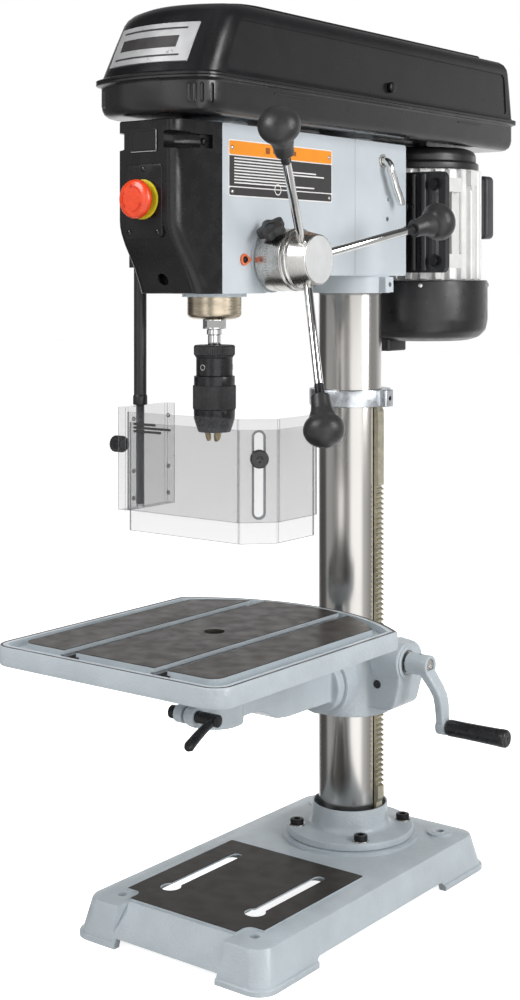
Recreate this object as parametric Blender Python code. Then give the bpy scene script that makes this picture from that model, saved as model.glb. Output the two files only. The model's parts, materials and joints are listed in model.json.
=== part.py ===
"""Bench drill press, modelled at rest with the quill up, the guard shut and the belt cover closed.

Every size below is in millimetres and every helper takes millimetres; put() scales the mesh to metres.
The design frame has the column's axis through x = 0, y = 0, the operator's side at -Y, +X on the
operator's right and z = 0 under the base. COLUMN_X and COLUMN_Y place that frame so that the middle of
the whole machine stands on the world's origin.
"""

import math

import bmesh
import bpy
from mathutils import Matrix, Vector

MM = 0.001
GAP = 0.3  # clearance between neighbouring pieces
FACETS = 0.5  # share of each listed count of sides that a round shape gets
COLUMN_X, COLUMN_Y = -32.9, 87.0

# Base casting
BASE_HALF, BASE_FRONT, BASE_REAR = 137.5, -362.0, 111.0
BASE_TOP, PAD_TOP = 44.0, 47.0
BASE_WALL = 9.0
SLOT_X, SLOT_HALF = 61.0, 7.0
SLOT_FRONT, SLOT_REAR, KEYHOLE_R = -277.0, -148.0, 12.0

# Column, its socket and the rack beside it
COLUMN_R, COLUMN_BORE, COLUMN_TOP = 40.0, 33.0, 858.0
FLANGE_R, FLANGE_TOP, SOCKET_R, SOCKET_BORE, SOCKET_TOP = 80.0, 57.5, 47.2, 45.0, 86.0
BOLT_CIRCLE, BOLT_SHANK, BOLT_HEAD = 68.0, 5.0, 8.5
RACK_IN, RACK_HALF, RACK_TOP = 40.5, 6.5, 585.5
COLLAR_R, COLLAR_LOW, COLLAR_HIGH = 52.0, 586.0, 607.0

# Rack-and-pinion teeth, the same for the table lift and for the quill feed
MODULE, PINION_TEETH = 2.0, 14
PITCH_R = MODULE * PINION_TEETH / 2
TOOTH_PITCH = math.pi * MODULE
ADDENDUM, DEDENDUM, BACKLASH = 1.6, 2.0, 0.5
PRESSURE = math.radians(20)
RACK_PITCH_X = 45.0

# Table lift
PINION_X, PINION_Z = RACK_PITCH_X + PITCH_R, 246.5
CRANK_Y, CRANK_Z = -12.0, 275.5
WORM_R, WORM_DEPTH, WHEEL_TEETH = 13.0, 1.1, 16
WHEEL_R = MODULE * WHEEL_TEETH / 2
GRIP_Y, GRIP_Z = -4.0, 203.0

# Table, its arm and the tilting joint
SPINDLE_Y = -273.0
TILT_Z = 246.0
TABLE_HALF, TABLE_FRONT, TABLE_REAR, TABLE_BOW = 160.7, -463.5, -141.8, 58.0
TABLE_TOP, RIM_LOW, CHANNEL_Z, RIM_WALL = 347.6, 323.7, 338.0, 8.5
LAND_INSET, TEE_X, TEE_NECK, TEE_FOOT, TEE_REAR = 24.5, 64.0, 9.0, 13.0, -105.0
STEM_R, STEM_LOW, ARM_EYE_LOW = 18.0, 248.0, 245.0
CLAMP_Y, CLAMP_Z = -320.0, 264.0

# Head casting and front cover
HEAD_HALF, HEAD_FRONT, HEAD_REAR, HEAD_LOW, HEAD_TOP = 50.0, -321.0, 53.0, 749.0, 915.0
COVER_FRONT, COVER_WALL, COVER_FLAT = -393.0, 3.0, 31.5
ESTOP_Z = 830.0

# Quill, spindle and chuck
QUILL_R, QUILL_LOW, QUILL_TOP = 30.6, 700.0, 885.0
QUILL_RACK_Y = 24.5
CORE_R, JAW_R, JAW_TIP_Z, JAW_TIP_RADIUS, JAW_TILT = 17.0, 3.2, 562.0, 5.9, math.radians(10)

# Feed shaft and handles
FEED_Y, FEED_Z = SPINDLE_Y + QUILL_RACK_Y + PITCH_R, 766.5
ROD_X, ROD_SPLAY, ROD_FIRST, ROD_R = 98.0, math.radians(18.2), math.radians(134.1), 4.9
KNOB_AT = 198.4

# Motor, pulleys and belt
MOTOR_Y, MOTOR_R, MOTOR_LOW, MOTOR_HIGH = 168.0, 82.7, 743.5, 889.0
PLATE_Y, PLATE_HALF, PLATE_LOW, PLATE_HIGH = 72.0, 97.0, 753.0, 882.0
BAR_X, BAR_Z, BAR_R = 26.0, 872.0, 7.0
STEPS_SPINDLE, STEPS_MOTOR = (52.0, 44.0, 36.0, 28.0), (28.0, 36.0, 44.0, 52.0)
STEP_HEIGHT, PULLEY_LOW, BELT_STEP = 14.0, 927.0, 1

# Belt cover
COVER_HALF, COVER_NOSE, COVER_BACK, COVER_LOW, COVER_JOIN = 81.0, -405.0, 285.0, 920.6, 959.2
COVER_CORNER, COVER_BOW, COVER_RIM = 12.0, 30.0, 4.5
LID_TOP, COVER_SKIN = 1047.0, 2.5

# Guard
POST_X, POST_Y, POST_R, PIN_R = -88.5, -299.0, 7.3, 4.6
SHIELD_FRONT, SHIELD_RIGHT, SHIELD_BACK = -330.0, 110.0, -228.0
SHIELD_LOW, SHIELD_HIGH, SLIDER_LOW, SLIDER_HIGH = 484.0, 595.0, 460.5, 583.0
SHEET = 3.0


# ---------------------------------------------------------------- helpers


def clear_scene():
    for obj in list(bpy.data.objects):
        bpy.data.objects.remove(obj)


def finish(name, colour, roughness, metallic, alpha=1.0):
    """A Principled material; one with alpha under 1 also lets light through."""
    material = bpy.data.materials.new(name)
    material.use_nodes = True
    shader = material.node_tree.nodes["Principled BSDF"]
    shader.inputs["Base Color"].default_value = (*colour, 1.0)
    shader.inputs["Roughness"].default_value = roughness
    shader.inputs["Metallic"].default_value = metallic
    if alpha < 1.0:
        shader.inputs["Alpha"].default_value = alpha
        shader.inputs["Transmission Weight"].default_value = 0.9
    return material


def put(name, mesh, material, origin=(0, 0, 0)):
    """Makes the object of a bmesh given in the design frame, with its origin on its joint's axis."""
    bmesh.ops.recalc_face_normals(mesh, faces=mesh.faces)
    bmesh.ops.translate(mesh, vec=-Vector(origin), verts=mesh.verts)
    bmesh.ops.scale(mesh, vec=(MM, MM, MM), verts=mesh.verts)
    data = bpy.data.meshes.new(name)
    mesh.to_mesh(data)
    mesh.free()
    data.shade_smooth()
    data.set_sharp_from_angle(angle=math.radians(32))
    if material:
        data.materials.append(material)
    obj = bpy.data.objects.new(name, data)
    obj.location = (Vector(origin) + Vector((COLUMN_X, COLUMN_Y, 0))) * MM
    bpy.context.scene.collection.objects.link(obj)
    return obj


def combine(obj, mesh, operation):
    """Cuts the mesh out of an object, or joins it on, with a Boolean and a hidden helper."""
    count = len(obj.modifiers) + 1
    helper = put(f"{obj.name}_{operation.lower()}_{count}", mesh, None)
    helper.hide_render = True
    helper.display_type = "WIRE"
    boolean = obj.modifiers.new(f"{operation.title()} {count}", "BOOLEAN")
    boolean.operation = operation
    boolean.solver = "EXACT"
    boolean.object = helper


def cut(obj, *meshes):
    for mesh in meshes:
        combine(obj, mesh, "DIFFERENCE")


def add(obj, *meshes):
    for mesh in meshes:
        combine(obj, mesh, "UNION")


def lay(axis, u, v, along):
    """The point of a section's (u, v) at a distance along X, Y or Z."""
    return {"X": (along, u, v), "Y": (u, along, v), "Z": (u, v, along)}[axis]


def loft(sections):
    """A closed solid through loops of points, which all have the same count."""
    mesh = bmesh.new()
    loops = [[mesh.verts.new(point) for point in section] for section in sections]
    for below, above in zip(loops, loops[1:]):
        for i in range(len(below)):
            j = (i + 1) % len(below)
            mesh.faces.new((below[i], below[j], above[j], above[i]))
    mesh.faces.new(loops[0][::-1])
    mesh.faces.new(loops[-1])
    return mesh


def prism(outline, low, high, axis="Z"):
    return loft([[lay(axis, u, v, along) for u, v in outline] for along in (low, high)])


def box(x, y, z):
    return prism([(x[0], y[0]), (x[1], y[0]), (x[1], y[1]), (x[0], y[1])], z[0], z[1])


def arc(centre, radius, start, end, steps):
    """Points on an arc, with its angles in degrees."""
    points = []
    for i in range(steps + 1):
        angle = math.radians(start + (end - start) * i / steps)
        points.append((centre[0] + radius * math.cos(angle), centre[1] + radius * math.sin(angle)))
    return points


def ring_points(centre, radius, count, turn=0.0):
    return arc(centre, radius, turn, turn + 360 * (count - 1) / count, count - 1)


def sides(count):
    return count if count <= 12 else round(count * FACETS / 2) * 2


def rod(centre, radius, low, high, axis="Z", count=32):
    """A round bar along X, Y or Z through centre, a point of the section's plane."""
    count = sides(count)
    return prism(ring_points(centre, radius, count), low, high, axis)


def rounded(corners, steps=3):
    """An outline whose corners (u, v, radius) are turned into arcs."""
    outline = []
    for i, (u, v, radius) in enumerate(corners):
        here = Vector((u, v))
        before = (Vector(corners[i - 1][:2]) - here).normalized()
        after = (Vector(corners[(i + 1) % len(corners)][:2]) - here).normalized()
        if radius <= 0:
            outline.append((u, v))
            continue
        half = before.angle(after) / 2
        centre = here + (before + after).normalized() * radius / math.sin(half)
        first = here + before * radius / math.tan(half) - centre
        last = here + after * radius / math.tan(half) - centre
        for k in range(steps + 1):
            point = centre + first.slerp(last, k / steps).normalized() * radius
            outline.append((point.x, point.y))
    return outline


def bore(centre, radius, low, high, axis="Z", count=32):
    """A cutter for a hole: its flat sides, not its corners, lie at the radius."""
    return rod(centre, radius / math.cos(math.pi / sides(count)), low, high, axis, count)


def turned(profile, count=32, axis="Z", centre=(0, 0), closed=False):
    """A turned solid from (radius, height) points; a closed profile off the axis makes a ring."""
    count = sides(count)
    mesh = bmesh.new()
    loops = []
    for radius, height in profile:
        if radius < 1e-6:
            loops.append([mesh.verts.new(lay(axis, centre[0], centre[1], height))])
            continue
        ring = ring_points(centre, radius, count)
        loops.append([mesh.verts.new(lay(axis, u, v, height)) for u, v in ring])
    pairs = list(zip(loops, loops[1:]))
    if closed:
        pairs.append((loops[-1], loops[0]))
    for one, other in pairs:
        for i in range(count):
            j = (i + 1) % count
            face = [one[i % len(one)], one[j % len(one)], other[j % len(other)], other[i % len(other)]]
            face = list(dict.fromkeys(face))
            if len(face) > 2:
                mesh.faces.new(face)
    if not closed:
        for loop in (loops[0], loops[-1]):
            if len(loop) > 1:
                mesh.faces.new(loop)
    return mesh


def tube(outer, inner, low, high, count=48, axis="Z", centre=(0, 0)):
    return turned([(outer, low), (outer, high), (inner, high), (inner, low)], count, axis, centre, True)


def sweep(path, radius, count=12):
    """A round bar along a path of points; radius is a number or one for each point."""
    radii = radius if isinstance(radius, list) else [radius] * len(path)
    points = [Vector(point) for point in path]
    side = (points[1] - points[0]).orthogonal().normalized()
    sections = []
    for i, point in enumerate(points):
        ahead = points[min(i + 1, len(points) - 1)] - point
        behind = point - points[max(i - 1, 0)]
        heading = (ahead.normalized() + behind.normalized()).normalized()
        side = (side - heading * side.dot(heading)).normalized()
        other = heading.cross(side)
        ring = ring_points((0, 0), radii[i], count)
        sections.append([point + side * u + other * v for u, v in ring])
    return loft(sections)


def aim(mesh, base, direction):
    """Turns a mesh made along +Z from z = 0 to point along a direction from base."""
    turn = Vector((0, 0, 1)).rotation_difference(Vector(direction)).to_matrix().to_4x4()
    bmesh.ops.transform(mesh, matrix=Matrix.Translation(base) @ turn, verts=mesh.verts)
    return mesh


def involute(angle):
    return math.tan(angle) - angle


def gear_outline(teeth, pitch_r, addendum, dedendum, turn):
    """An involute gear about (0, 0) with a tooth's middle at the angle turn, in radians."""
    base_r = pitch_r * math.cos(PRESSURE)
    half_pitch = (math.pi * pitch_r / teeth - BACKLASH) / 2 / pitch_r
    flank = []
    for radius in (pitch_r - dedendum, max(base_r, pitch_r - dedendum + 0.3), pitch_r, pitch_r + addendum):
        roll = math.acos(min(1.0, base_r / radius))
        flank.append((radius, half_pitch + involute(PRESSURE) - involute(roll)))
    outline = []
    for i in range(teeth):
        middle = turn + i * math.tau / teeth
        for radius, half in flank:
            outline.append((radius * math.cos(middle - half), radius * math.sin(middle - half)))
        for radius, half in reversed(flank):
            outline.append((radius * math.cos(middle + half), radius * math.sin(middle + half)))
    return outline


def rack_edge(pitch_line, gap_at, low, high, sign=1):
    """The toothed edge of a rack along Z, as (across, z) points, with a gap's middle at gap_at."""
    slope = math.tan(PRESSURE)
    gap_half = TOOTH_PITCH / 4 + BACKLASH / 4
    edge = []
    first = math.ceil((low - gap_at) / TOOTH_PITCH)
    last = math.floor((high - gap_at) / TOOTH_PITCH)
    for i in range(first, last + 1):
        middle = gap_at + i * TOOTH_PITCH
        wide = gap_half + ADDENDUM * slope
        narrow = gap_half - DEDENDUM * slope
        edge.append((pitch_line + sign * ADDENDUM, middle - wide))
        edge.append((pitch_line - sign * DEDENDUM, middle - narrow))
        edge.append((pitch_line - sign * DEDENDUM, middle + narrow))
        edge.append((pitch_line + sign * ADDENDUM, middle + wide))
    return edge


# ---------------------------------------------------------------- materials

CAST_GREY = finish("cast_grey", (0.48, 0.54, 0.60), 0.5, 0.0)
HEAD_GREY = finish("head_grey", (0.62, 0.67, 0.72), 0.4, 0.0)
BLACK_PAINT = finish("black_paint", (0.02, 0.02, 0.022), 0.25, 0.0)
BLACK_PLASTIC = finish("black_plastic", (0.03, 0.03, 0.032), 0.45, 0.0)
STEEL = finish("bright_steel", (0.6, 0.58, 0.54), 0.3, 1.0)
ZINC = finish("zinc", (0.72, 0.68, 0.55), 0.35, 1.0)
CHROME = finish("chrome", (0.8, 0.8, 0.8), 0.1, 1.0)
DARK_STEEL = finish("dark_steel", (0.06, 0.06, 0.065), 0.35, 0.8)
ALUMINIUM = finish("aluminium", (0.82, 0.82, 0.82), 0.4, 1.0)
CAST_IRON = finish("cast_iron", (0.2, 0.2, 0.2), 0.5, 0.9)
RUBBER = finish("rubber", (0.02, 0.02, 0.02), 0.8, 0.0)
RED = finish("red_plastic", (0.8, 0.06, 0.03), 0.35, 0.0)
YELLOW = finish("yellow_plastic", (0.85, 0.75, 0.02), 0.4, 0.0)
CLEAR = finish("clear_plastic", (0.95, 0.97, 0.98), 0.05, 0.0, 0.25)


# ---------------------------------------------------------------- base and column


def base_section(inset, z):
    corners = [
        (-BASE_HALF + inset, BASE_FRONT + inset, 24 - inset * 0.3),
        (BASE_HALF - inset, BASE_FRONT + inset, 24 - inset * 0.3),
        (BASE_HALF - inset, BASE_REAR - inset, 24 - inset * 0.3),
        (-BASE_HALF + inset, BASE_REAR - inset, 24 - inset * 0.3),
    ]
    return [(x, y, z) for x, y in rounded(corners)]


def keyhole(side, low, high):
    """A slot along Y with a round entry at its front end."""
    x = side * SLOT_X
    half_angle = math.degrees(math.asin(SLOT_HALF / KEYHOLE_R))
    entry = arc((x, SLOT_FRONT), KEYHOLE_R, 90 + half_angle, 450 - half_angle, 16)
    back = arc((x, SLOT_REAR - SLOT_HALF), SLOT_HALF, 0, 180, 8)
    return prism(entry + back, low, high)


def make_base():
    base = put(
        "base",
        loft([base_section(0, 0), base_section(0, 6), base_section(3, 7.5), base_section(12, BASE_TOP)]),
        CAST_GREY,
    )
    pad = rounded([(-98, -330, 0), (98, -330, 0), (98, -117, 2), (-98, -117, 2)])
    add(base, prism(pad, BASE_TOP - 2, PAD_TOP), rod((0, 0), 86, BASE_TOP - 2, 48, count=48))
    for x, y in ((-92, 65), (92, 65)):
        add(base, rod((x, y), 15, BASE_TOP - 2, 47, count=20))
    for side in (-1, 1):
        cut(base, prism(rounded([(side * 76, -345, 3), (side * 110, -345, 3), (side * 110, -309, 3),
                                 (side * 76, -309, 8)][::side]), BASE_TOP, 60))
    hollow = [base_section(BASE_WALL, -1), base_section(BASE_WALL + 10, 34)]
    cut(base, loft(hollow))
    backing = [(-357.5, 9), (-344, 9), (-318, 37), (-342, 37)]
    add(base, prism(backing, -82, 82, "X"))
    apron = [(77.5, -357.5, 15), (75.5, -333, BASE_TOP), (75, -333, 60)]
    cut(base, loft([[(-x, -380, z), (x, -380, z), (x, y, z), (-x, y, z)] for x, y, z in apron]))
    cut(base, box((-72, 72), (-380, -300), (-1, 11)), box((-150, 150), (-262, 5), (-1, 11)))
    for side in (-1, 1):
        cut(base, keyhole(side, 20, 60))
        cut(base, bore((side * 95, -322), 5.5, 20, 60, count=20), bore((side * 92, 65), 5.5, 20, 60, count=20))
    for i in range(4):
        x, y = ring_points((0, 0), BOLT_CIRCLE, 4, 45)[i]
        cut(base, bore((x, y), BOLT_SHANK + GAP, 20, 60, count=16))


def make_column():
    profile = [(SOCKET_BORE, SOCKET_TOP), (SOCKET_R - 0.8, SOCKET_TOP), (SOCKET_R, SOCKET_TOP - 2),
               (SOCKET_R, FLANGE_TOP + 6), (SOCKET_R + 5, FLANGE_TOP), (FLANGE_R - 2, FLANGE_TOP),
               (FLANGE_R, FLANGE_TOP - 2), (FLANGE_R, 48.3), (COLUMN_R + GAP, 48.3),
               (COLUMN_R + GAP, 54), (SOCKET_BORE, 55)]
    flange = put("column_flange", turned(profile, 64, closed=True), CAST_GREY)
    for i, (x, y) in enumerate(ring_points((0, 0), BOLT_CIRCLE, 4, 45)):
        cut(flange, bore((x, y), BOLT_SHANK + GAP, 40, 80, count=16))
        head = [(0, 26), (BOLT_SHANK, 26), (BOLT_SHANK, FLANGE_TOP + GAP), (BOLT_HEAD, FLANGE_TOP + GAP),
                (BOLT_HEAD, 64), (BOLT_HEAD - 1.5, 65.2), (4.2, 65.2), (3.6, 61), (0, 61)]
        put(f"flange_bolt_{i + 1}", turned(head, 12, centre=(x, y)), DARK_STEEL)
    put("column", tube(COLUMN_R, COLUMN_BORE, 48.6, COLUMN_TOP, 64), STEEL)
    collar = put("rack_collar", tube(COLLAR_R, COLUMN_R + GAP, COLLAR_LOW, COLLAR_HIGH, 64), ZINC)
    add(collar, box((COLLAR_R - 4, COLLAR_R + 8), (-9, 9), (COLLAR_LOW + 0.01, COLLAR_HIGH - 0.01)))
    cut(collar, bore((0, (COLLAR_LOW + COLLAR_HIGH) / 2), 2.6, 44, 70, "X", 12))


def make_rack():
    edge = rack_edge(RACK_PITCH_X, PINION_Z, 110, 486)
    tip = RACK_PITCH_X + ADDENDUM
    outline = [(RACK_IN, 56), (44.0, 56), (44.0, 92), (tip, 97)]
    outline += edge
    outline += [(tip, RACK_TOP - 6), (44.0, RACK_TOP), (RACK_IN, RACK_TOP)]
    put("rack", prism(outline, -RACK_HALF, RACK_HALF, "Y"), ZINC)


# ---------------------------------------------------------------- table lift


def make_bracket():
    bracket = put("table_bracket", rod((0, 0), 53, 204, 300, count=64), CAST_GREY)
    add(bracket, rod((0, TILT_Z), 39, -62, -20, "Y", 40))
    housing = rounded([(30, 216, 0), (82, 216, 14), (91, 250, 8), (91, 292, 16), (60, 296, 14), (30, 286, 0)])
    add(bracket, prism(housing, -28, 26, "Y"))
    add(bracket, rod((CRANK_Y, CRANK_Z), 23, 52, 92, "X", 32))
    add(bracket, prism(rounded([(-76, 216, 8), (-40, 210, 0), (-40, 290, 0), (-76, 284, 8)]), -15, 15, "Y"))
    cut(bracket, bore((0, 0), COLUMN_R + GAP, 190, 310, count=64))
    cut(bracket, box((30, RACK_PITCH_X + ADDENDUM + 1), (-RACK_HALF - 0.8, RACK_HALF + 0.8), (190, 310)))
    cut(bracket, bore((PINION_X, PINION_Z), WHEEL_R + 1.6, -20.5, 8.5, "Y", 40))
    cut(bracket, bore((PINION_X, PINION_Z), 5.3, -40, 40, "Y", 20))
    cut(bracket, bore((CRANK_Y, CRANK_Z), 14.6, 44, 110, "X", 32))
    cut(bracket, box((-90, -36), (-1.5, 1.5), (190, 310)))
    cut(bracket, bore((-64, 250), 5.3, -30, 30, "Y", 20))
    cut(bracket, bore((0, TILT_Z), 8.3, -90, -44, "Y", 24))
    put("pinion_pin", rod((PINION_X, PINION_Z), 5.0, -27.6, 25.5, "Y", 20), STEEL)

    toothed = gear_outline(PINION_TEETH, PITCH_R, ADDENDUM, DEDENDUM, math.pi)
    shifted = [(PINION_X + u, PINION_Z + v) for u, v in toothed]
    pinion = put("lift_pinion", prism(shifted, -6, 6, "Y"), DARK_STEEL, (PINION_X, 0, PINION_Z))
    wheel = gear_outline(WHEEL_TEETH, WHEEL_R, 0.3, 1.6, 0)
    wheel = [(PINION_X + u, PINION_Z + v) for u, v in wheel]
    add(pinion, prism(wheel, -18, -8, "Y"), rod((PINION_X, PINION_Z), 9, -19.5, 7.8, "Y", 24))
    cut(pinion, bore((PINION_X, PINION_Z), 5.3, -40, 40, "Y", 20))


def worm(start, end, radius, depth):
    """A single thread along X as one closed surface, with a valley over the wheel's upright tooth."""
    around, along = 16, 24
    sections = []
    for i in range(along + 1):
        x = start + (end - start) * i / along
        fade = min(1.0, i / 2, (along - i) / 2)
        section = []
        for k in range(around):
            angle = math.tau * k / around
            turned_by = math.tau * (x - PINION_X) / TOOTH_PITCH
            wave = math.cos(angle - turned_by + math.pi / 2)
            r = radius - depth * (1 - fade + fade * wave)
            section.append((x, CRANK_Y + r * math.cos(angle), CRANK_Z + r * math.sin(angle)))
        sections.append(section)
    return loft(sections)


def make_crank():
    origin = (0, CRANK_Y, CRANK_Z)
    shaft = put("crank_shaft", worm(48, 71, WORM_R, WORM_DEPTH), STEEL, origin)
    stepped = [(0, 47.5), (8, 47.5), (8, 73), (14.2, 73), (14.2, 94), (8, 94), (8, 122), (0, 122)]
    add(shaft, turned(stepped, 32, "X", (CRANK_Y, CRANK_Z)))

    hub = [(8.3, 96), (12.5, 96), (13, 97), (13, 125), (12, 126), (8.3, 126)]
    arm = put("crank_arm", turned(hub, 32, "X", (CRANK_Y, CRANK_Z), True), CAST_GREY, origin)
    path = [(119, 0.08), (125, 0.2), (132, 0.34), (137, 0.48), (138.5, 0.64), (138.5, 0.8), (138.5, 1.0)]
    sections = []
    for x, t in path:
        y = CRANK_Y + (GRIP_Y - CRANK_Y) * t
        z = CRANK_Z + (GRIP_Z - CRANK_Z) * t
        wide = 11 - 3 * t
        tilt = 0.35 if t < 0.5 else 0.0
        ring = rounded([(-6, -wide, 3), (6, -wide, 3), (6, wide, 3), (-6, wide, 3)], 2)
        sections.append([(x + u, y + v, z + u * tilt) for u, v in ring])
    add(arm, loft(sections))
    eye = [(0, 132.5), (9.5, 132.5), (10, 133.5), (10, 143), (9, 144.5), (4.6, 144.5), (4.6, 222), (0, 222)]
    add(arm, turned(eye, 24, "X", (GRIP_Y, GRIP_Z)))
    cut(arm, bore((CRANK_Y, CRANK_Z), 8 + GAP, 90, 125, "X", 32))

    grip = [(4.9, 146), (9, 146), (10, 147.5), (10, 217), (10.6, 218), (10.6, 225), (9.6, 226.5),
            (0, 226.5), (0, 223), (4.9, 223)]
    put("crank_grip", turned(grip, 24, "X", (GRIP_Y, GRIP_Z), True), BLACK_PLASTIC, (0, GRIP_Y, GRIP_Z))


def make_column_clamp():
    """The bolt and lever that lock the bracket on the column, at the operator's left."""
    x, z = -64, 250
    bolt = [(0, -22), (9, -22), (9, -15.3), (5, -15.3), (5, 15.3), (9, 15.3), (9, 27), (0, 27)]
    lever = put("column_clamp_lever", turned(bolt, 20, "Y", (x, z)), DARK_STEEL, (x, 0, z))
    add(lever, sweep([(x, 21, z), (x - 24, 23, z - 28), (x - 46, 27, z - 54)], [4.5, 4.5, 6.5]))


# ---------------------------------------------------------------- table


def table_outline(inset, radius):
    """The table's outline: straight front and sides, and a rear edge bowed towards the column."""
    half = TABLE_HALF - inset
    rear = TABLE_REAR - inset * 0.8
    chord = half * 2
    bow_r = (chord * chord / 4 + TABLE_BOW**2) / (2 * TABLE_BOW)
    swing = math.degrees(math.asin(half / bow_r))
    crown = (0, rear + TABLE_BOW - bow_r)
    lip = TABLE_FRONT + inset
    front = rounded([(-half, lip, radius), (half, lip, radius), (half, rear, 0), (-half, rear, 0)])
    bow = arc(crown, bow_r, 90 - swing, 90 + swing, 10)
    return front[:-2] + bow


def make_arm():
    arm = put("table_arm", rod((0, SPINDLE_Y), 33, ARM_EYE_LOW, 318, count=40), CAST_GREY, (0, -62, TILT_Z))
    web = rounded([(-265, 250, 0), (-232, 250, 0), (-212, 247, 14), (-184, 233, 16), (-160, 230, 10),
                   (-64, 229, 0), (-64, 284, 0), (-90, 316, 10), (-265, 317, 0)])
    add(arm, prism(web, -23, 23, "X"))
    add(arm, rod((0, TILT_Z), 35, -76, -62.3, "Y", 40))
    add(arm, box((-14, 14), (CLAMP_Y, SPINDLE_Y - 20), (CLAMP_Z - 10, CLAMP_Z + 10)))
    add(arm, rod((CLAMP_Y, CLAMP_Z), 10, -14, 14, "X", 24))
    cut(arm, bore((0, SPINDLE_Y), STEM_R + GAP, 230, 330, count=40))
    cut(arm, box((-2, 2), (-345, SPINDLE_Y), (230, 330)))
    cut(arm, bore((CLAMP_Y, CLAMP_Z), 4.8, -30, 30, "X", 20))
    cut(arm, bore((0, TILT_Z), 8.3, -90, -50, "Y", 24))
    cut(arm, box((-17, 17), (-105, -76), (230, 264)))
    head = [(0, -86), (12, -86), (12, -76.3), (8, -76.3), (8, -46), (0, -46)]
    put("tilt_bolt", turned(head, 6, "Y", (0, TILT_Z)), DARK_STEEL, (0, -62, TILT_Z))


def make_table():
    origin = (0, SPINDLE_Y, RIM_LOW)
    outer = [[(x, y, z) for x, y in table_outline(inset, 22)]
             for inset, z in ((3, RIM_LOW), (1, RIM_LOW + 2), (0, TABLE_TOP - 0.8), (0.8, TABLE_TOP))]
    table = put("table", loft(outer), CAST_IRON, origin)
    channel = [[(x, y, z) for x, y in table_outline(inset, 16)]
               for inset, z in ((RIM_WALL + 2, CHANNEL_Z), (RIM_WALL, TABLE_TOP + 5))]
    cut(table, loft(channel))
    under = [(x, y) for x, y in table_outline(16, 12)]
    cut(table, prism(under, RIM_LOW - 5, RIM_LOW + 4))
    land = [[(x, y + 5 * (y > -300), z) for x, y in table_outline(LAND_INSET, 14)]
            for z in (CHANNEL_Z - 4, TABLE_TOP)]
    add(table, loft(land))
    for side in (-1, 1):
        x = side * TEE_X
        cut(table, box((x - TEE_NECK, x + TEE_NECK), (-452, TEE_REAR), (CHANNEL_Z, TABLE_TOP + 5)))
        cut(table, box((x - TEE_FOOT, x + TEE_FOOT), (-452, TEE_REAR), (CHANNEL_Z - 0.01, CHANNEL_Z + 4.5)))
    stem = [(0, STEM_LOW), (STEM_R, STEM_LOW), (STEM_R, 318.5), (44, 319.5), (44, 332), (0, 332)]
    add(table, turned(stem, 40, "Z", (0, SPINDLE_Y)))
    add(table, rod((-45, -395), 11, 304, 330, count=24))
    cut(table, bore((0, SPINDLE_Y), 12, 230, 360, count=32))


def make_table_clamp():
    bolt = [(0, -23), (7.5, -23), (7.5, -14.3), (4.5, -14.3), (4.5, 14.3), (7, 14.3), (7, 44), (0, 44)]
    lever = put("table_clamp_lever", turned(bolt, 20, "X", (CLAMP_Y, CLAMP_Z)), DARK_STEEL,
                (0, CLAMP_Y, CLAMP_Z))
    start = (38, CLAMP_Y, CLAMP_Z)
    end = (39.5, CLAMP_Y - 26, CLAMP_Z - 9)
    tip = (41, CLAMP_Y - 50, CLAMP_Z - 18)
    add(lever, sweep([start, end, tip], [4.2, 5.4, 5.8]))


# ---------------------------------------------------------------- head


def make_head():
    side = rounded([(HEAD_FRONT, 729, 2), (-246, 729, 0), (-205, 735, 22), (-188, HEAD_LOW, 10),
                    (HEAD_REAR, HEAD_LOW, 2), (HEAD_REAR, HEAD_TOP, 2), (HEAD_FRONT, HEAD_TOP, 2)])
    head = put("head_casting", prism(side, -HEAD_HALF, HEAD_HALF, "X"), HEAD_GREY)
    add(head, rod((0, 0), 50.5, 727.5, 752, count=56))
    add(head, rod((0, SPINDLE_Y), 36.5, 725, 732, count=40))
    add(head, rod((FEED_Y, FEED_Z), 36.8, 46, 52.5, "X", 48))
    add(head, rod((0, SPINDLE_Y), 38, 912, 920.3, count=40), rod((0, -10), 34, 912, 920.3, count=40))
    add(head, box((44, 60), (-9, 9), (728.5, 747.5)))
    cut(head, bore((0, SPINDLE_Y), QUILL_R + GAP, 700, 898, count=48))
    cut(head, bore((0, SPINDLE_Y), 15.6, 880, 940, count=32))
    cut(head, bore((0, 0), COLUMN_R + GAP, 700, COLUMN_TOP + GAP, count=64))
    cut(head, box((-40, 40), (-222, -56), (800, 940)))
    cut(head, bore((FEED_Y, FEED_Z), 17.0, -14, 70, "X", 32))
    cut(head, bore((FEED_Y, FEED_Z), 11, -70, 0, "X", 32))
    cut(head, bore((-1.3, 892), 5.3, 34, 60, "X", 20))
    for x in (-BAR_X, BAR_X):
        cut(head, bore((x, BAR_Z), BAR_R + GAP, -80, 70, "Y", 24))
    cut(head, bore((0, 738), 3.2, 36, 70, "X", 12))


def cover_section(front, z):
    """The front cover seen from above: sides that taper forwards and elliptical front corners."""
    rear = HEAD_FRONT - GAP
    deep = min(21.0, (rear - front) * 0.55)
    taper = 7.5 * (rear - front) / (HEAD_FRONT - COVER_FRONT)
    wide = HEAD_HALF - taper - COVER_FLAT
    right = [(COVER_FLAT + wide * u, front + deep * (1 - v)) for u, v in arc((0, 0), 1, 90, 0, 5)]
    right.append((HEAD_HALF, rear))
    return [(-x, y, z) for x, y in reversed(right)] + [(x, y, z) for x, y in right]


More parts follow.
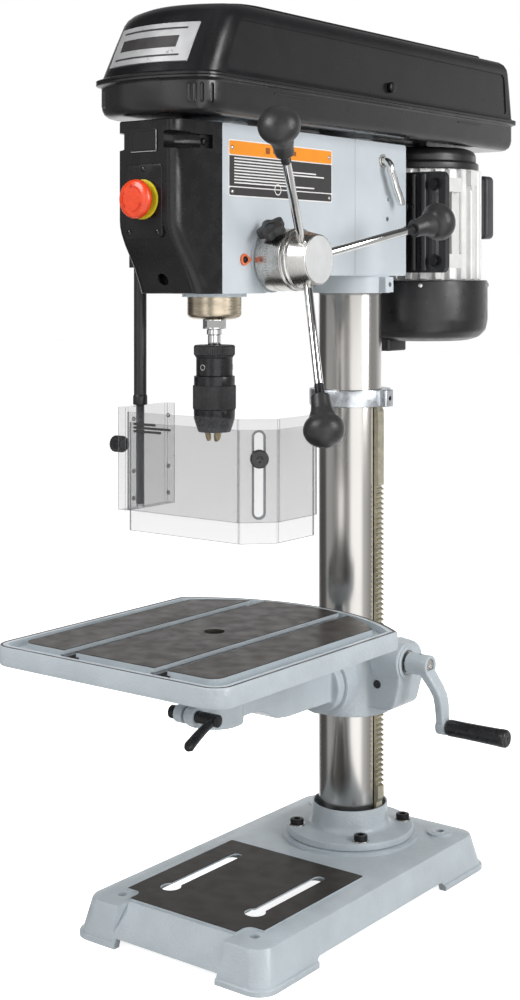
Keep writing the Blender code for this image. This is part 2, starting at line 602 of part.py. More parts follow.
def make_front_cover():
    """The black cover on the head's front: flat above, with a chin that curves back below."""
    levels = [(729, -354), (740, -359), (756, -367), (770, -376), (782, -384), (794, -390), (808, COVER_FRONT),
              (HEAD_TOP, COVER_FRONT)]
    cover = put("front_cover", loft([cover_section(y, z) for z, y in levels]), BLACK_PLASTIC)
    inner = [(z, y + COVER_WALL) for z, y in levels]
    inner[0] = (732, inner[0][1])
    inner[-1] = (HEAD_TOP - 3, inner[-1][1])
    hollow = []
    for z, y in inner:
        half = [(27, y, z), (36, y + 14, z), (36, -315, z)]
        hollow.append([(-x, v, z) for x, v, z in reversed(half)] + half)
    cut(cover, loft(hollow))
    for side in (-1, 1):
        path = [(side * 38, -399, 893), (side * 46, -386, 893), (side * 53, -364, 893), (side * 56, -341, 893)]
        cut(cover, sweep(path, [11, 10.5, 9, 7], 20))
    cut(cover, bore((0, ESTOP_Z), 12, -420, -380, "Y", 28))
    ring = [(10.6, -362), (11.6, -362), (11.6, -393.3), (20.5, -393.3), (20.5, -395), (19.5, -396),
            (10.6, -396)]
    put("estop_collar", turned(ring, 32, "Y", (0, ESTOP_Z), True), YELLOW)
    button = [(0, -366), (10.2, -366), (10.2, -402.5), (19.5, -402.5), (21, -403.5), (21, -407.5),
              (19.5, -410.5), (15, -412.2), (8, -412.6), (0, -412.6)]
    put("estop_button", turned(button, 32, "Y", (0, ESTOP_Z)), RED, (0, -402, ESTOP_Z))


def make_quill():
    body = [(0, QUILL_LOW), (QUILL_R - 1, QUILL_LOW), (QUILL_R, QUILL_LOW + 1), (QUILL_R, QUILL_TOP - 1),
            (QUILL_R - 1, QUILL_TOP), (0, QUILL_TOP)]
    quill = put("quill", turned(body, 40, "Z", (0, SPINDLE_Y)), STEEL, (0, SPINDLE_Y, QUILL_LOW))
    pitch_line = SPINDLE_Y + QUILL_RACK_Y
    tip = pitch_line + ADDENDUM
    teeth = rack_edge(pitch_line, FEED_Z, 752, 868)
    outline = [(tip, 736)] + teeth + [(tip, 872), (tip + 20, 872), (tip + 20, 736)]
    cut(quill, prism(outline, -18, 18, "X"))
    cut(quill, bore((0, SPINDLE_Y), 10.4, 690, 900, count=32))


def spline_ring(radius, z):
    """The outline of the splined top of the spindle: six flat teeth."""
    section = []
    for i in range(24):
        r = radius if i % 4 in (0, 1) else radius - 1.6
        angle = math.tau * (i + 0.5) / 24
        section.append((r * math.cos(angle), SPINDLE_Y + r * math.sin(angle), z))
    return section


def make_spindle():
    profile = [(0, 652), (7.4, 652), (7.4, 682), (8.8, 682.5), (8.8, 688), (13.5, 689), (13.5, 699.7),
               (10, 699.7), (10, 885.5), (12.5, 885.5), (12.5, 889.5), (9, 889.5), (9, 894), (0, 894)]
    spindle = put("spindle", turned(profile, 32, "Z", (0, SPINDLE_Y)), STEEL, (0, SPINDLE_Y, 700))
    add(spindle, loft([spline_ring(9.2, 890), spline_ring(9.2, 1012)]))


def make_chuck():
    origin = (0, SPINDLE_Y, 630)
    centre = (0, SPINDLE_Y)
    body = [(0, 573.5), (CORE_R - 1, 573.5), (CORE_R, 575), (CORE_R, 636.3), (20.7, 636.3), (20.7, 656),
            (22, 658.5), (23.3, 659.5), (23.3, 669), (22, 671), (12, 671), (11, 670), (0, 670)]
    chuck = put("chuck_body", turned(body, 36, "Z", centre), DARK_STEEL, origin)
    cut(chuck, bore(centre, 7.7, 651, 680, count=24))
    sleeve = [(CORE_R + GAP, 573), (18.5, 573), (23.2, 588.5), (23.5, 590), (23.5, 598.5), (24.35, 599.5),
              (24.35, 625), (23.15, 626), (23.15, 635), (22.5, 636), (CORE_R + GAP, 636)]
    put("chuck_sleeve", turned(sleeve, 36, "Z", centre, True), DARK_STEEL, origin)
    for i in range(3):
        angle = math.radians(90 + 120 * i)
        outward = Vector((math.cos(angle), math.sin(angle), 0))
        axis = (outward * math.sin(JAW_TILT) + Vector((0, 0, math.cos(JAW_TILT)))).normalized()
        tip = Vector((0, SPINDLE_Y, JAW_TIP_Z)) + outward * JAW_TIP_RADIUS
        hole = turned([(0, 5), (JAW_R + 2 * GAP, 5), (JAW_R + 2 * GAP, 44), (0, 44)], 16)
        cut(chuck, aim(hole, tip, axis))
        jaw = turned([(0, 0.5), (JAW_R - 1.2, 0.5), (JAW_R, 4), (JAW_R, 35), (0, 35)], 16)
        put(f"chuck_jaw_{i + 1}", aim(jaw, tip, axis), STEEL, tip)


def make_feed():
    origin = (0, FEED_Y, FEED_Z)
    centre = (FEED_Y, FEED_Z)
    toothed = gear_outline(PINION_TEETH, PITCH_R, ADDENDUM, DEDENDUM, math.pi)
    shifted = [(FEED_Y + u, FEED_Z + v) for u, v in toothed]
    shaft = put("feed_shaft", prism(shifted, -12, 12, "X"), STEEL, origin)
    stepped = [(0, -58), (6, -58), (10.7, -50), (10.7, 25), (16.2, 25), (16.2, 89.8), (10.7, 89.8),
               (10.7, 106), (0, 106)]
    add(shaft, turned(stepped, 32, "X", centre))

    ring = [(16.5, 52.9), (34, 52.9), (35, 53.9), (35, 89), (34, 90), (16.5, 90)]
    depth = put("depth_ring", turned(ring, 48, "X", centre, True), STEEL, origin)
    away = Vector((0, math.cos(math.radians(129.8)), math.sin(math.radians(129.8))))
    foot = Vector((73, FEED_Y, FEED_Z))
    cut(depth, aim(bore((0, 0), 3.3, 20, 60, count=16), foot, away))
    stem = turned([(0, 28), (3, 28), (3, 37), (7, 37), (7, 40), (0, 40)], 16)
    knob = put("depth_lock_knob", aim(stem, foot, away), BLACK_PLASTIC, foot + away * 40)
    lobes = []
    for i in range(35):
        angle = math.tau * i / 35
        radius = 15 + 2.2 * math.cos(5 * angle)
        lobes.append((radius * math.cos(angle), radius * math.sin(angle)))
    add(knob, aim(prism(lobes, 39, 49), foot, away))

    profile = [(11, 90.4), (33.5, 90.4), (34.5, 91.4), (34.5, 94), (33.5, 95), (32.6, 96.4), (28, 117),
               (27.2, 117.6),
               (0, 117.6), (0, 107), (11, 107)]
    hub = put("feed_hub", turned(profile, 48, "X", centre, True), STEEL, origin)
    middle = Vector((ROD_X, FEED_Y, FEED_Z))
    for i in range(3):
        angle = ROD_FIRST + i * math.tau / 3
        outward = Vector((0, math.cos(angle), math.sin(angle)))
        along = outward * math.cos(ROD_SPLAY) + Vector((math.sin(ROD_SPLAY), 0, 0))
        cut(hub, aim(bore((0, 0), ROD_R + GAP, 19, 60, count=20), middle, along))
        put(f"feed_rod_{i + 1}", aim(rod((0, 0), ROD_R, 19.5, 174, count=20), middle, along), CHROME, origin)
        knob = aim(turned(knob_profile(), 24, closed=True), middle, along)
        put(f"feed_knob_{i + 1}", knob, BLACK_PLASTIC, origin)


def knob_profile():
    """A pear-shaped knob with its rod's hole at the small end."""
    start = KNOB_AT - 39
    points = [(ROD_R + GAP, start), (9.6, start), (10.2, start + 1), (11.4, start + 15), (13, start + 19)]
    for i in range(7):
        angle = math.radians(-50 + 140 * i / 6)
        points.append((22.5 * math.cos(angle), KNOB_AT + 19 * math.sin(angle)))
    points[-1] = (0, KNOB_AT + 19)
    return points + [(0, 176), (ROD_R + GAP, 176)]


def make_tension_lever():
    bend = [(62 - 11 + x, -1.3, 892 - 11 + z) for x, z in arc((0, 0), 11, 90, 0, 4)]
    path = [(35, -1.3, 892)] + bend + [(62.5, 6, 868), (62.5, 23.5, 838)]
    put("tension_lever", sweep(path, 4.9, 14), CHROME, (0, -1.3, 892))


def make_spring_cup():
    cup = [(11, -50.3), (30, -50.3), (31, -51.3), (31, -72), (29, -74.5), (0, -74.5), (0, -60), (11, -60)]
    put("spring_cup", turned(cup, 40, "X", (FEED_Y, FEED_Z), True), DARK_STEEL)


# ---------------------------------------------------------------- motor and drive


def make_motor():
    origin = (0, MOTOR_Y, BAR_Z)
    outline = rounded([(-PLATE_HALF, PLATE_LOW, 9), (PLATE_HALF, PLATE_LOW, 9), (PLATE_HALF, PLATE_HIGH, 9),
                       (-PLATE_HALF, PLATE_HIGH, 9)])
    plate = put("motor_plate", prism(outline, PLATE_Y, PLATE_Y + 10, "Y"), BLACK_PAINT, origin)
    for side in (-1, 1):
        add(plate, rod((side * BAR_X, BAR_Z), BAR_R, -70, PLATE_Y + 4, "Y", 24))
        for x in (51, 66):
            rib = rounded([(side * x - 4.5, PLATE_Y - 6, 3), (side * x + 4.5, PLATE_Y - 6, 3),
                           (side * x + 4.5, PLATE_Y + 3, 0), (side * x - 4.5, PLATE_Y + 3, 0)], 3)
            add(plate, prism(rib, PLATE_LOW + 1, PLATE_HIGH - 1))
        slot = rounded([(side * 82 - 5, 762, 4.9), (side * 82 + 5, 762, 4.9), (side * 82 + 5, 872, 4.9),
                        (side * 82 - 5, 872, 4.9)])
        cut(plate, prism(slot, PLATE_Y - 20, PLATE_Y + 30, "Y"))

    fins = []
    count = 26
    for i in range(count):
        middle = math.tau * i / count
        for radius, half in ((76, 0.078), (MOTOR_R, 0.05)):
            fins.append((radius * math.cos(middle - half), MOTOR_Y + radius * math.sin(middle - half)))
        for radius, half in ((MOTOR_R, 0.05), (76, 0.078)):
            fins.append((radius * math.cos(middle + half), MOTOR_Y + radius * math.sin(middle + half)))
    body = put("motor_body", prism(fins, MOTOR_LOW, MOTOR_HIGH), ALUMINIUM, origin)
    for side in (-1, 1):
        for z in (768, 866):
            add(body, box((side * 82 - 9, side * 82 + 9), (PLATE_Y + 10 + GAP, MOTOR_Y - 45), (z - 9, z + 9)))
    for side in (-1, 1):
        inner = 55 * side
        add(body, box(tuple(sorted((inner, 85 * side))), (MOTOR_Y - 60, MOTOR_Y - 42), (760, 874)))

    bell = [(10.3, MOTOR_HIGH + GAP), (79, MOTOR_HIGH + GAP), (79, 899), (75.5, 900), (75.5, 909), (72, 915.5),
            (64, 918.5), (10.3, 918.5)]
    put("motor_end_bell", turned(bell, 56, "Z", (0, MOTOR_Y), True), BLACK_PAINT, origin)
    joint = MOTOR_LOW - GAP
    fan = [(0, 663), (64, 663), (79, 667.5), (88, 676.5), (91, 690), (91, joint), (0, joint)]
    cover = put("motor_fan_cover", turned(fan, 56, "Z", (0, MOTOR_Y)), BLACK_PLASTIC, origin)
    add(cover, box((-60, -4), (MOTOR_Y - 70, MOTOR_Y - 25), (649.5, 670)))

    case = put("junction_box", box((-48, 48), (MOTOR_Y + MOTOR_R + GAP, 262), (803, 884)), ALUMINIUM, origin)
    lid = rounded([(-52, 800, 6), (52, 800, 6), (52, 887, 6), (-52, 887, 6)])
    add(case, prism(lid, 260, 280, "Y"))


def step_profile(radii, low, bore):
    """The outer line of a stepped V-belt pulley, bottom to top, with one groove to a step."""
    points = [(bore, low)]
    for i, radius in enumerate(radii):
        z = low + i * STEP_HEIGHT
        points += [(radius, z + 1.2), (radius - 6.5, z + 3.6), (radius - 6.5, z + STEP_HEIGHT - 3.6),
                   (radius, z + STEP_HEIGHT - 1.2)]
    return points + [(bore, low + len(radii) * STEP_HEIGHT)]


def make_pulleys():
    top = PULLEY_LOW + 4 * STEP_HEIGHT
    spindle_side = put("spindle_pulley", turned(step_profile(STEPS_SPINDLE, PULLEY_LOW, 12), 40, "Z",
                                                (0, SPINDLE_Y), True), ALUMINIUM, (0, SPINDLE_Y, PULLEY_LOW))
    add(spindle_side, turned([(0, 899), (15.3, 899), (15.3, 925), (20, 926), (20, top - 2), (0, top - 2)], 32,
                             "Z", (0, SPINDLE_Y)))
    cut(spindle_side, loft([spline_ring(9.6, 880), spline_ring(9.6, 1020)]))
    steps = turned(step_profile(STEPS_MOTOR, PULLEY_LOW, 8), 40, "Z", (0, MOTOR_Y), True)
    motor_side = put("motor_pulley", steps,
                     ALUMINIUM, (0, MOTOR_Y, PULLEY_LOW))
    add(motor_side, turned([(0, 896), (9.9, 896), (9.9, top + 4), (0, top + 4)], 24, "Z", (0, MOTOR_Y)))


def make_belt():
    """A V-belt round one step of each pulley, along the two circles' outer tangents."""
    spindle_r, motor_r = STEPS_SPINDLE[BELT_STEP], STEPS_MOTOR[BELT_STEP]
    span = MOTOR_Y - SPINDLE_Y
    lean = math.asin((spindle_r - motor_r) / span)
    middle = PULLEY_LOW + (BELT_STEP + 0.5) * STEP_HEIGHT
    rays = []
    lean_deg = math.degrees(lean)
    for centre, radius, start, end in ((SPINDLE_Y, spindle_r, 180 - lean_deg, 360 + lean_deg),
                                       (MOTOR_Y, motor_r, lean_deg, 180 - lean_deg)):
        for i in range(15):
            angle = math.radians(start + (end - start) * i / 14)
            rays.append((centre, radius, Vector((math.cos(angle), math.sin(angle)))))
    mesh = bmesh.new()
    loops = []
    for offset, half in ((-5.6, 2.4), (0.8, 4.6), (0.8, -4.6), (-5.6, -2.4)):
        loop = []
        for centre, radius, out in rays:
            reach = radius + offset
            loop.append(mesh.verts.new((out.x * reach, centre + out.y * reach, middle + half)))
        loops.append(loop)
    for a, b in zip(loops, loops[1:] + loops[:1]):
        for i in range(len(a)):
            j = (i + 1) % len(a)
            mesh.faces.new((a[i], a[j], b[j], b[i]))
    put("drive_belt", mesh, RUBBER)


# ---------------------------------------------------------------- belt cover


def cover_outline(half, nose, back):
    """The belt cover seen from above: a bowed nose, straight sides and a flat rounded back."""
    bow = COVER_BOW
    shoulder = nose + bow
    front = []
    for i in range(9):
        x = half * 0.82 * (-1 + i / 4)
        front.append((x, nose + bow * 0.62 * (x / (half * 0.82)) ** 2))
    corner = [(half * 0.94, shoulder - bow * 0.08), (half, shoulder + 24)]
    r = COVER_CORNER
    rear = arc((half - r, back - r), r, 0, 90, 4) + arc((-half + r, back - r), r, 90, 180, 4)
    return front + corner + rear + [(-x, y) for x, y in reversed(corner)]


def make_belt_cover():
    join_low, join_high = COVER_JOIN - GAP / 2, COVER_JOIN + GAP / 2

    def level(inset, z, slope=0.0):
        return [(x, y, z) for x, y in
                cover_outline(COVER_HALF - inset, COVER_NOSE + inset + slope, COVER_BACK - inset)]

    pan = put("pulley_pan", loft([level(7, COVER_LOW), level(1.5, COVER_LOW + 6), level(0, COVER_LOW + 14),
                                  level(0, join_low - 4), level(-COVER_RIM, join_low - 3),
                                  level(-COVER_RIM, join_low)]), BLACK_PAINT)
    skin = COVER_SKIN
    cut(pan, loft([level(7 + skin, COVER_LOW + skin), level(1.5 + skin, COVER_LOW + 7 + skin),
                   level(skin, join_low + 5)]))
    cut(pan, bore((0, SPINDLE_Y), 16.5, 900, 940, count=32))
    shaft_hole = [(x, MOTOR_Y - 8 + y) for x, y in arc((0, 0), 20, 180, 360, 12)]
    shaft_hole += [(x, MOTOR_Y + y) for x, y in arc((0, 0), 20, 0, 180, 12)]
    cut(pan, prism(shaft_hole, 900, 940))

    lid = put("pulley_lid", loft([level(-COVER_RIM, join_high), level(-COVER_RIM, join_high + 3),
                                  level(0, join_high + 4.5, 2), level(2, 1002, 25), level(4, 1031, 43),
                                  level(6.5, 1039, 50), level(12, 1043.5, 56), level(16, 1044, 60),
                                  level(18, LID_TOP, 63)]), BLACK_PAINT, (-COVER_HALF - 9, 0, COVER_JOIN))
    cut(lid, loft([level(skin, join_high - 5), level(skin, join_high + 4.5, 2), level(2 + skin, 1002, 25),
                   level(4 + skin, 1029, 42), level(9 + skin, 1038.5, 52), level(15 + skin, 1041, 60)]))


# ---------------------------------------------------------------- guard


def shield_wall(offset, thickness):
    """The guard's wall seen from above: the front, a bevelled corner and the right side."""
    front = SHIELD_FRONT + offset
    right = SHIELD_RIGHT - offset
    k = offset * 0.4
    outer = [(-80.5, front), (79.5 - k, front), (right, front + 30.5 - k * 0.5), (right, SHIELD_BACK)]
    t = thickness
    inner = [(right - t, SHIELD_BACK), (right - t, front + 30.5 + t * 0.4), (79.5 - k - t * 0.4, front + t),
             (-80.5, front + t)]
    return outer + inner


def make_guard():
    post = [(0, 487), (PIN_R, 487), (PIN_R, 600.8), (8.3, 600.8), (8.3, 611), (POST_R, 612), (POST_R, 786),
            (0, 786)]
    guard_post = put("guard_post", turned(post, 24, "Z", (POST_X, POST_Y)), BLACK_PAINT)
    bracket = rounded([(POST_X - 11, POST_Y - 11, 6), (-HEAD_HALF - GAP, POST_Y - 15, 0),
                       (-HEAD_HALF - GAP, POST_Y + 15, 0), (POST_X - 11, POST_Y + 11, 6)])
    add(guard_post, prism(bracket, 758, 778))

    origin = (POST_X, POST_Y, 484)
    plate = rounded([(-96, -330, 2), (-81, -330, 2), (-81, -245, 2), (-96, -245, 2)], 2)
    carrier = put("guard_carrier", prism(plate, 483, 600), CLEAR, origin)
    cut(carrier, bore((POST_X, POST_Y), PIN_R + GAP, 470, 620, count=20))
    knob = [(0, -96 - GAP), (7.5, -96 - GAP), (9.5, -99), (9.5, -111), (8, -113), (0, -113)]
    lock = put("hinge_lock_knob", turned(knob, 18, "X", (-316, 556)), BLACK_PLASTIC, (-96, -316, 556))
    cut(lock, bore((-316, 556), 2.5, -120, -111, "X", 10))

    shield = put("guard_shield", prism(shield_wall(0, SHEET), SHIELD_LOW, SHIELD_HIGH), CLEAR, origin)
    plate = prism(shield_wall(SHEET + 0.6, SHEET), SLIDER_LOW, SLIDER_HIGH)
    slider = put("guard_slider", plate, CLEAR, origin)

    normal = Vector((1, -1, 0)).normalized()
    middle = Vector((94.75, -314.75, 0))
    slot = rounded([(-5, 490, 4.9), (5, 490, 4.9), (5, 581, 4.9), (-5, 581, 4.9)], 3)
    along = Vector((1, 1, 0)).normalized()
    section = [[middle + along * u + normal * depth + Vector((0, 0, z)) for u, z in slot]
               for depth in (-3.3, 6)]
    cut(shield, loft(section))
    head = turned([(0, -9.5), (2.6, -9.5), (2.6, 0.4), (9, 0.4), (10, 1.6), (10, 8), (9, 9.4), (0, 9.4)], 20)
    foot = middle + Vector((0, 0, 553))
    put("guard_knob", aim(head, foot, normal), BLACK_PLASTIC, foot)
    cut(slider, aim(bore((0, 0), 2.9, -20, 20, count=12), foot, normal))


clear_scene()
make_base()
make_column()
make_rack()
make_bracket()
make_crank()
make_column_clamp()
make_arm()
make_table()
make_table_clamp()
make_head()
make_front_cover()
make_quill()
make_spindle()
make_chuck()
make_feed()
make_tension_lever()
make_spring_cup()
make_motor()
make_pulleys()
make_belt()
make_belt_cover()
make_guard()
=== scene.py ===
"""The looks of the bench drill press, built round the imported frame.

Sizes are in millimetres from the column's axis, with -Y towards the operator, +X on the operator's right
and z = 0 on the floor; piece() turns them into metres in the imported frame.
"""

import json
import math

import bmesh
import bpy
from mathutils import Matrix, Vector

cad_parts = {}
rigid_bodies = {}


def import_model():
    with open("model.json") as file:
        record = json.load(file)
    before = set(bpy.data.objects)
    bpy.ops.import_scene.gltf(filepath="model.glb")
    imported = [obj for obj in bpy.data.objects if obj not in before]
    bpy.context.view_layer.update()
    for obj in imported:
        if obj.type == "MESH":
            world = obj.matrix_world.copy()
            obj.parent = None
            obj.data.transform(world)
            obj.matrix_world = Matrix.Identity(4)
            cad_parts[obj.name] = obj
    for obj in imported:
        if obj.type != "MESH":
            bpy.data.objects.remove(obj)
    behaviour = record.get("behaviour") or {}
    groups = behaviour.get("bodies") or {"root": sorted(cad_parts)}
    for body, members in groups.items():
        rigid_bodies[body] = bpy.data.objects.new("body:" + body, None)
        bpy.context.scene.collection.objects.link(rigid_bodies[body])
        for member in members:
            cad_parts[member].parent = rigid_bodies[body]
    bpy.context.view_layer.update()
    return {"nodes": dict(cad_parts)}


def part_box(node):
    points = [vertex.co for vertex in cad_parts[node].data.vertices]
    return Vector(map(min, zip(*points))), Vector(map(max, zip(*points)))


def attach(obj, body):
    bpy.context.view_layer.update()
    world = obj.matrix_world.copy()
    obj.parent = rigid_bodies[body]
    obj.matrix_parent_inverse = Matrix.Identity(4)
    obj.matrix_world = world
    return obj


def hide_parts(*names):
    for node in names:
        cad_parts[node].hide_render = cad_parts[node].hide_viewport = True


for leftover in list(bpy.data.objects):
    bpy.data.objects.remove(leftover)

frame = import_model()

MM = 0.001
COLUMN_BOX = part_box("column")
COLUMN_AXIS = Vector(((COLUMN_BOX[0].x + COLUMN_BOX[1].x) / 2, (COLUMN_BOX[0].y + COLUMN_BOX[1].y) / 2, 0))


# ---------------------------------------------------------------- shape helpers


def lay(axis, u, v, along):
    return {"X": (along, u, v), "Y": (u, along, v), "Z": (u, v, along)}[axis]


def loft(sections):
    """A closed solid through loops of points with the same count."""
    mesh = bmesh.new()
    loops = [[mesh.verts.new(point) for point in section] for section in sections]
    for below, above in zip(loops, loops[1:]):
        for i in range(len(below)):
            j = (i + 1) % len(below)
            mesh.faces.new((below[i], below[j], above[j], above[i]))
    mesh.faces.new(loops[0][::-1])
    mesh.faces.new(loops[-1])
    bmesh.ops.recalc_face_normals(mesh, faces=mesh.faces)
    return mesh


def prism(outline, low, high, axis="Z"):
    return loft([[lay(axis, u, v, along) for u, v in outline] for along in (low, high)])


def pillow(outline_at, low, high, edge, axis="Z", steps=3):
    """A prism whose two end edges are rounded; outline_at(inset) gives its outline."""
    sections = []
    for i in range(steps + 1):
        angle = math.pi / 2 * i / steps
        outline = outline_at(edge * (1 - math.sin(angle)))
        sections.append([lay(axis, u, v, low + edge * (1 - math.cos(angle))) for u, v in outline])
    for i in range(steps + 1):
        angle = math.pi / 2 * i / steps
        outline = outline_at(edge * (1 - math.cos(angle)))
        sections.append([lay(axis, u, v, high - edge * (1 - math.sin(angle))) for u, v in outline])
    return loft(sections)


def box(x, y, z):
    return prism([(x[0], y[0]), (x[1], y[0]), (x[1], y[1]), (x[0], y[1])], z[0], z[1])


def arc(centre, radius, start, end, steps):
    points = []
    for i in range(steps + 1):
        angle = math.radians(start + (end - start) * i / steps)
        points.append((centre[0] + radius * math.cos(angle), centre[1] + radius * math.sin(angle)))
    return points


def circle(centre, radius, count=64, turn=0.0):
    return arc(centre, radius, turn, turn + 360 * (count - 1) / count, count - 1)


def rod(centre, radius, low, high, axis="Z", count=64):
    return prism(circle(centre, radius, count), low, high, axis)


def rounded(corners, steps=6):
    """An outline whose corners (u, v, radius) are turned into arcs."""
    outline = []
    for i, (u, v, radius) in enumerate(corners):
        here = Vector((u, v))
        before = (Vector(corners[i - 1][:2]) - here).normalized()
        after = (Vector(corners[(i + 1) % len(corners)][:2]) - here).normalized()
        if radius <= 0:
            outline.append((u, v))
            continue
        half = before.angle(after) / 2
        centre = here + (before + after).normalized() * radius / math.sin(half)
        first = here + before * radius / math.tan(half) - centre
        last = here + after * radius / math.tan(half) - centre
        for k in range(steps + 1):
            point = centre + first.slerp(last, k / steps).normalized() * radius
            outline.append((point.x, point.y))
    return outline


def plate(u, v, radius):
    """A rounded rectangle's outline, as a function of its inset."""
    def at(inset):
        r = max(radius - inset, 0.05)
        return rounded([(u[0] + inset, v[0] + inset, r), (u[1] - inset, v[0] + inset, r),
                        (u[1] - inset, v[1] - inset, r), (u[0] + inset, v[1] - inset, r)], 6)
    return at


def soft(profile, size=0.6):
    """A turned profile with each of its inner corners replaced by a short curve."""
    points = [Vector(point) for point in profile]
    result = [tuple(points[0])]
    for before, here, after in zip(points, points[1:], points[2:]):
        back, ahead = before - here, after - here
        reach = min(size, back.length * 0.45, ahead.length * 0.45)
        if reach < 0.02:
            result.append(tuple(here))
            continue
        first = here + back.normalized() * reach
        last = here + ahead.normalized() * reach
        for t in (0.0, 0.33, 0.67, 1.0):
            point = first * (1 - t) ** 2 + here * 2 * t * (1 - t) + last * t * t
            result.append(tuple(point))
    return result + [tuple(points[-1])]


def turned(profile, count=72, axis="Z", centre=(0, 0), closed=False):
    """A turned solid from (radius, height) points; a closed profile off the axis makes a ring."""
    mesh = bmesh.new()
    loops = []
    for radius, height in profile:
        if radius < 1e-6:
            loops.append([mesh.verts.new(lay(axis, centre[0], centre[1], height))])
        else:
            loops.append([mesh.verts.new(lay(axis, u, v, height)) for u, v in circle(centre, radius, count)])
    pairs = list(zip(loops, loops[1:]))
    if closed:
        pairs.append((loops[-1], loops[0]))
    for one, other in pairs:
        for i in range(count):
            j = (i + 1) % count
            face = [one[i % len(one)], one[j % len(one)], other[j % len(other)], other[i % len(other)]]
            face = list(dict.fromkeys(face))
            if len(face) > 2:
                mesh.faces.new(face)
    if not closed:
        for loop in (loops[0], loops[-1]):
            if len(loop) > 1:
                mesh.faces.new(loop)
    bmesh.ops.recalc_face_normals(mesh, faces=mesh.faces)
    return mesh


def tube(outer, inner, low, high, count=72, axis="Z", centre=(0, 0), edge=0.6):
    e = edge
    profile = [(outer - e, low), (outer - e * 0.3, low + e * 0.3), (outer, low + e), (outer, high - e),
               (outer - e * 0.3, high - e * 0.3), (outer - e, high), (inner + e, high),
               (inner + e * 0.3, high - e * 0.3),
               (inner, high - e), (inner, low + e), (inner + e * 0.3, low + e * 0.3), (inner + e, low)]
    return turned(profile, count, axis, centre, True)


def sweep(path, radius, count=24):
    """A round bar along a path of points; radius is a number or one for each point."""
    radii = radius if isinstance(radius, list) else [radius] * len(path)
    points = [Vector(point) for point in path]
    side = (points[1] - points[0]).orthogonal().normalized()
    sections = []
    for i, point in enumerate(points):
        ahead = points[min(i + 1, len(points) - 1)] - point
        behind = point - points[max(i - 1, 0)]
        heading = (ahead.normalized() + behind.normalized()).normalized()
        side = (side - heading * side.dot(heading)).normalized()
        other = heading.cross(side)
        sections.append([point + side * u + other * v for u, v in circle((0, 0), radii[i], count)])
    return loft(sections)


def aim(mesh, foot, direction):
    """Turns a mesh made along +Z from z = 0 to point along a direction from foot."""
    turn = Vector((0, 0, 1)).rotation_difference(Vector(direction)).to_matrix().to_4x4()
    bmesh.ops.transform(mesh, matrix=Matrix.Translation(foot) @ turn, verts=mesh.verts)
    return mesh


def together(*meshes):
    """Several meshes as one, without joining their surfaces."""
    total = bmesh.new()
    for mesh in meshes:
        data = bpy.data.meshes.new("part")
        mesh.to_mesh(data)
        mesh.free()
        total.from_mesh(data)
        bpy.data.meshes.remove(data)
    return total


def as_object(mesh, name):
    data = bpy.data.meshes.new(name)
    mesh.to_mesh(data)
    mesh.free()
    obj = bpy.data.objects.new(name, data)
    bpy.context.scene.collection.objects.link(obj)
    return obj


def evaluated(obj, *helpers):
    """The mesh that an object's modifiers give; the object and its helpers are removed."""
    bpy.context.view_layer.update()
    graph = bpy.context.evaluated_depsgraph_get()
    data = bpy.data.meshes.new_from_object(obj.evaluated_get(graph))
    result = bmesh.new()
    result.from_mesh(data)
    bpy.data.meshes.remove(data)
    for gone in (obj, *helpers):
        bpy.data.objects.remove(gone)
    return result


def shaped(mesh, joins=(), cuts=()):
    """The mesh with others joined on, and then others cut out of it."""
    obj = as_object(mesh, "shape")
    helpers = []
    for operation, others in (("UNION", joins), ("DIFFERENCE", cuts)):
        for other in others:
            helpers.append(as_object(other, "helper"))
            boolean = obj.modifiers.new("Boolean", "BOOLEAN")
            boolean.operation = operation
            boolean.solver = "EXACT"
            boolean.object = helpers[-1]
    return evaluated(obj, *helpers)


def cast(mesh, voxel=1.6, rounds=5):
    """The mesh as a sand casting has it, with every edge and inner corner rounded."""
    obj = as_object(mesh, "casting")
    remesh = obj.modifiers.new("Remesh", "REMESH")
    remesh.mode = "VOXEL"
    remesh.voxel_size = voxel
    remesh.adaptivity = 0.0
    smooth = obj.modifiers.new("Smooth", "SMOOTH")
    smooth.factor = 0.5
    smooth.iterations = rounds
    return evaluated(obj)


def piece(name, mesh, material, body, *stands_for, bevel=0.0, slot=None, angle=32):
    """Makes a piece of a mesh in millimetres, riding on a body and standing for CAD nodes."""
    bmesh.ops.recalc_face_normals(mesh, faces=mesh.faces)
    bmesh.ops.scale(mesh, vec=(MM, MM, MM), verts=mesh.verts)
    bmesh.ops.translate(mesh, vec=COLUMN_AXIS, verts=mesh.verts)
    obj = as_object(mesh, name)
    obj.data.shade_smooth()
    if bevel:
        rounding = obj.modifiers.new("Bevel", "BEVEL")
        rounding.width = bevel * MM
        rounding.segments = 3
        rounding.limit_method = "ANGLE"
        rounding.angle_limit = math.radians(angle)
        rounding.harden_normals = True
    else:
        obj.data.set_sharp_from_angle(angle=math.radians(angle))
    obj.data.materials.append(material)
    if stands_for:
        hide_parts(*stands_for)
    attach(obj, body)
    return obj


# ---------------------------------------------------------------- finishes


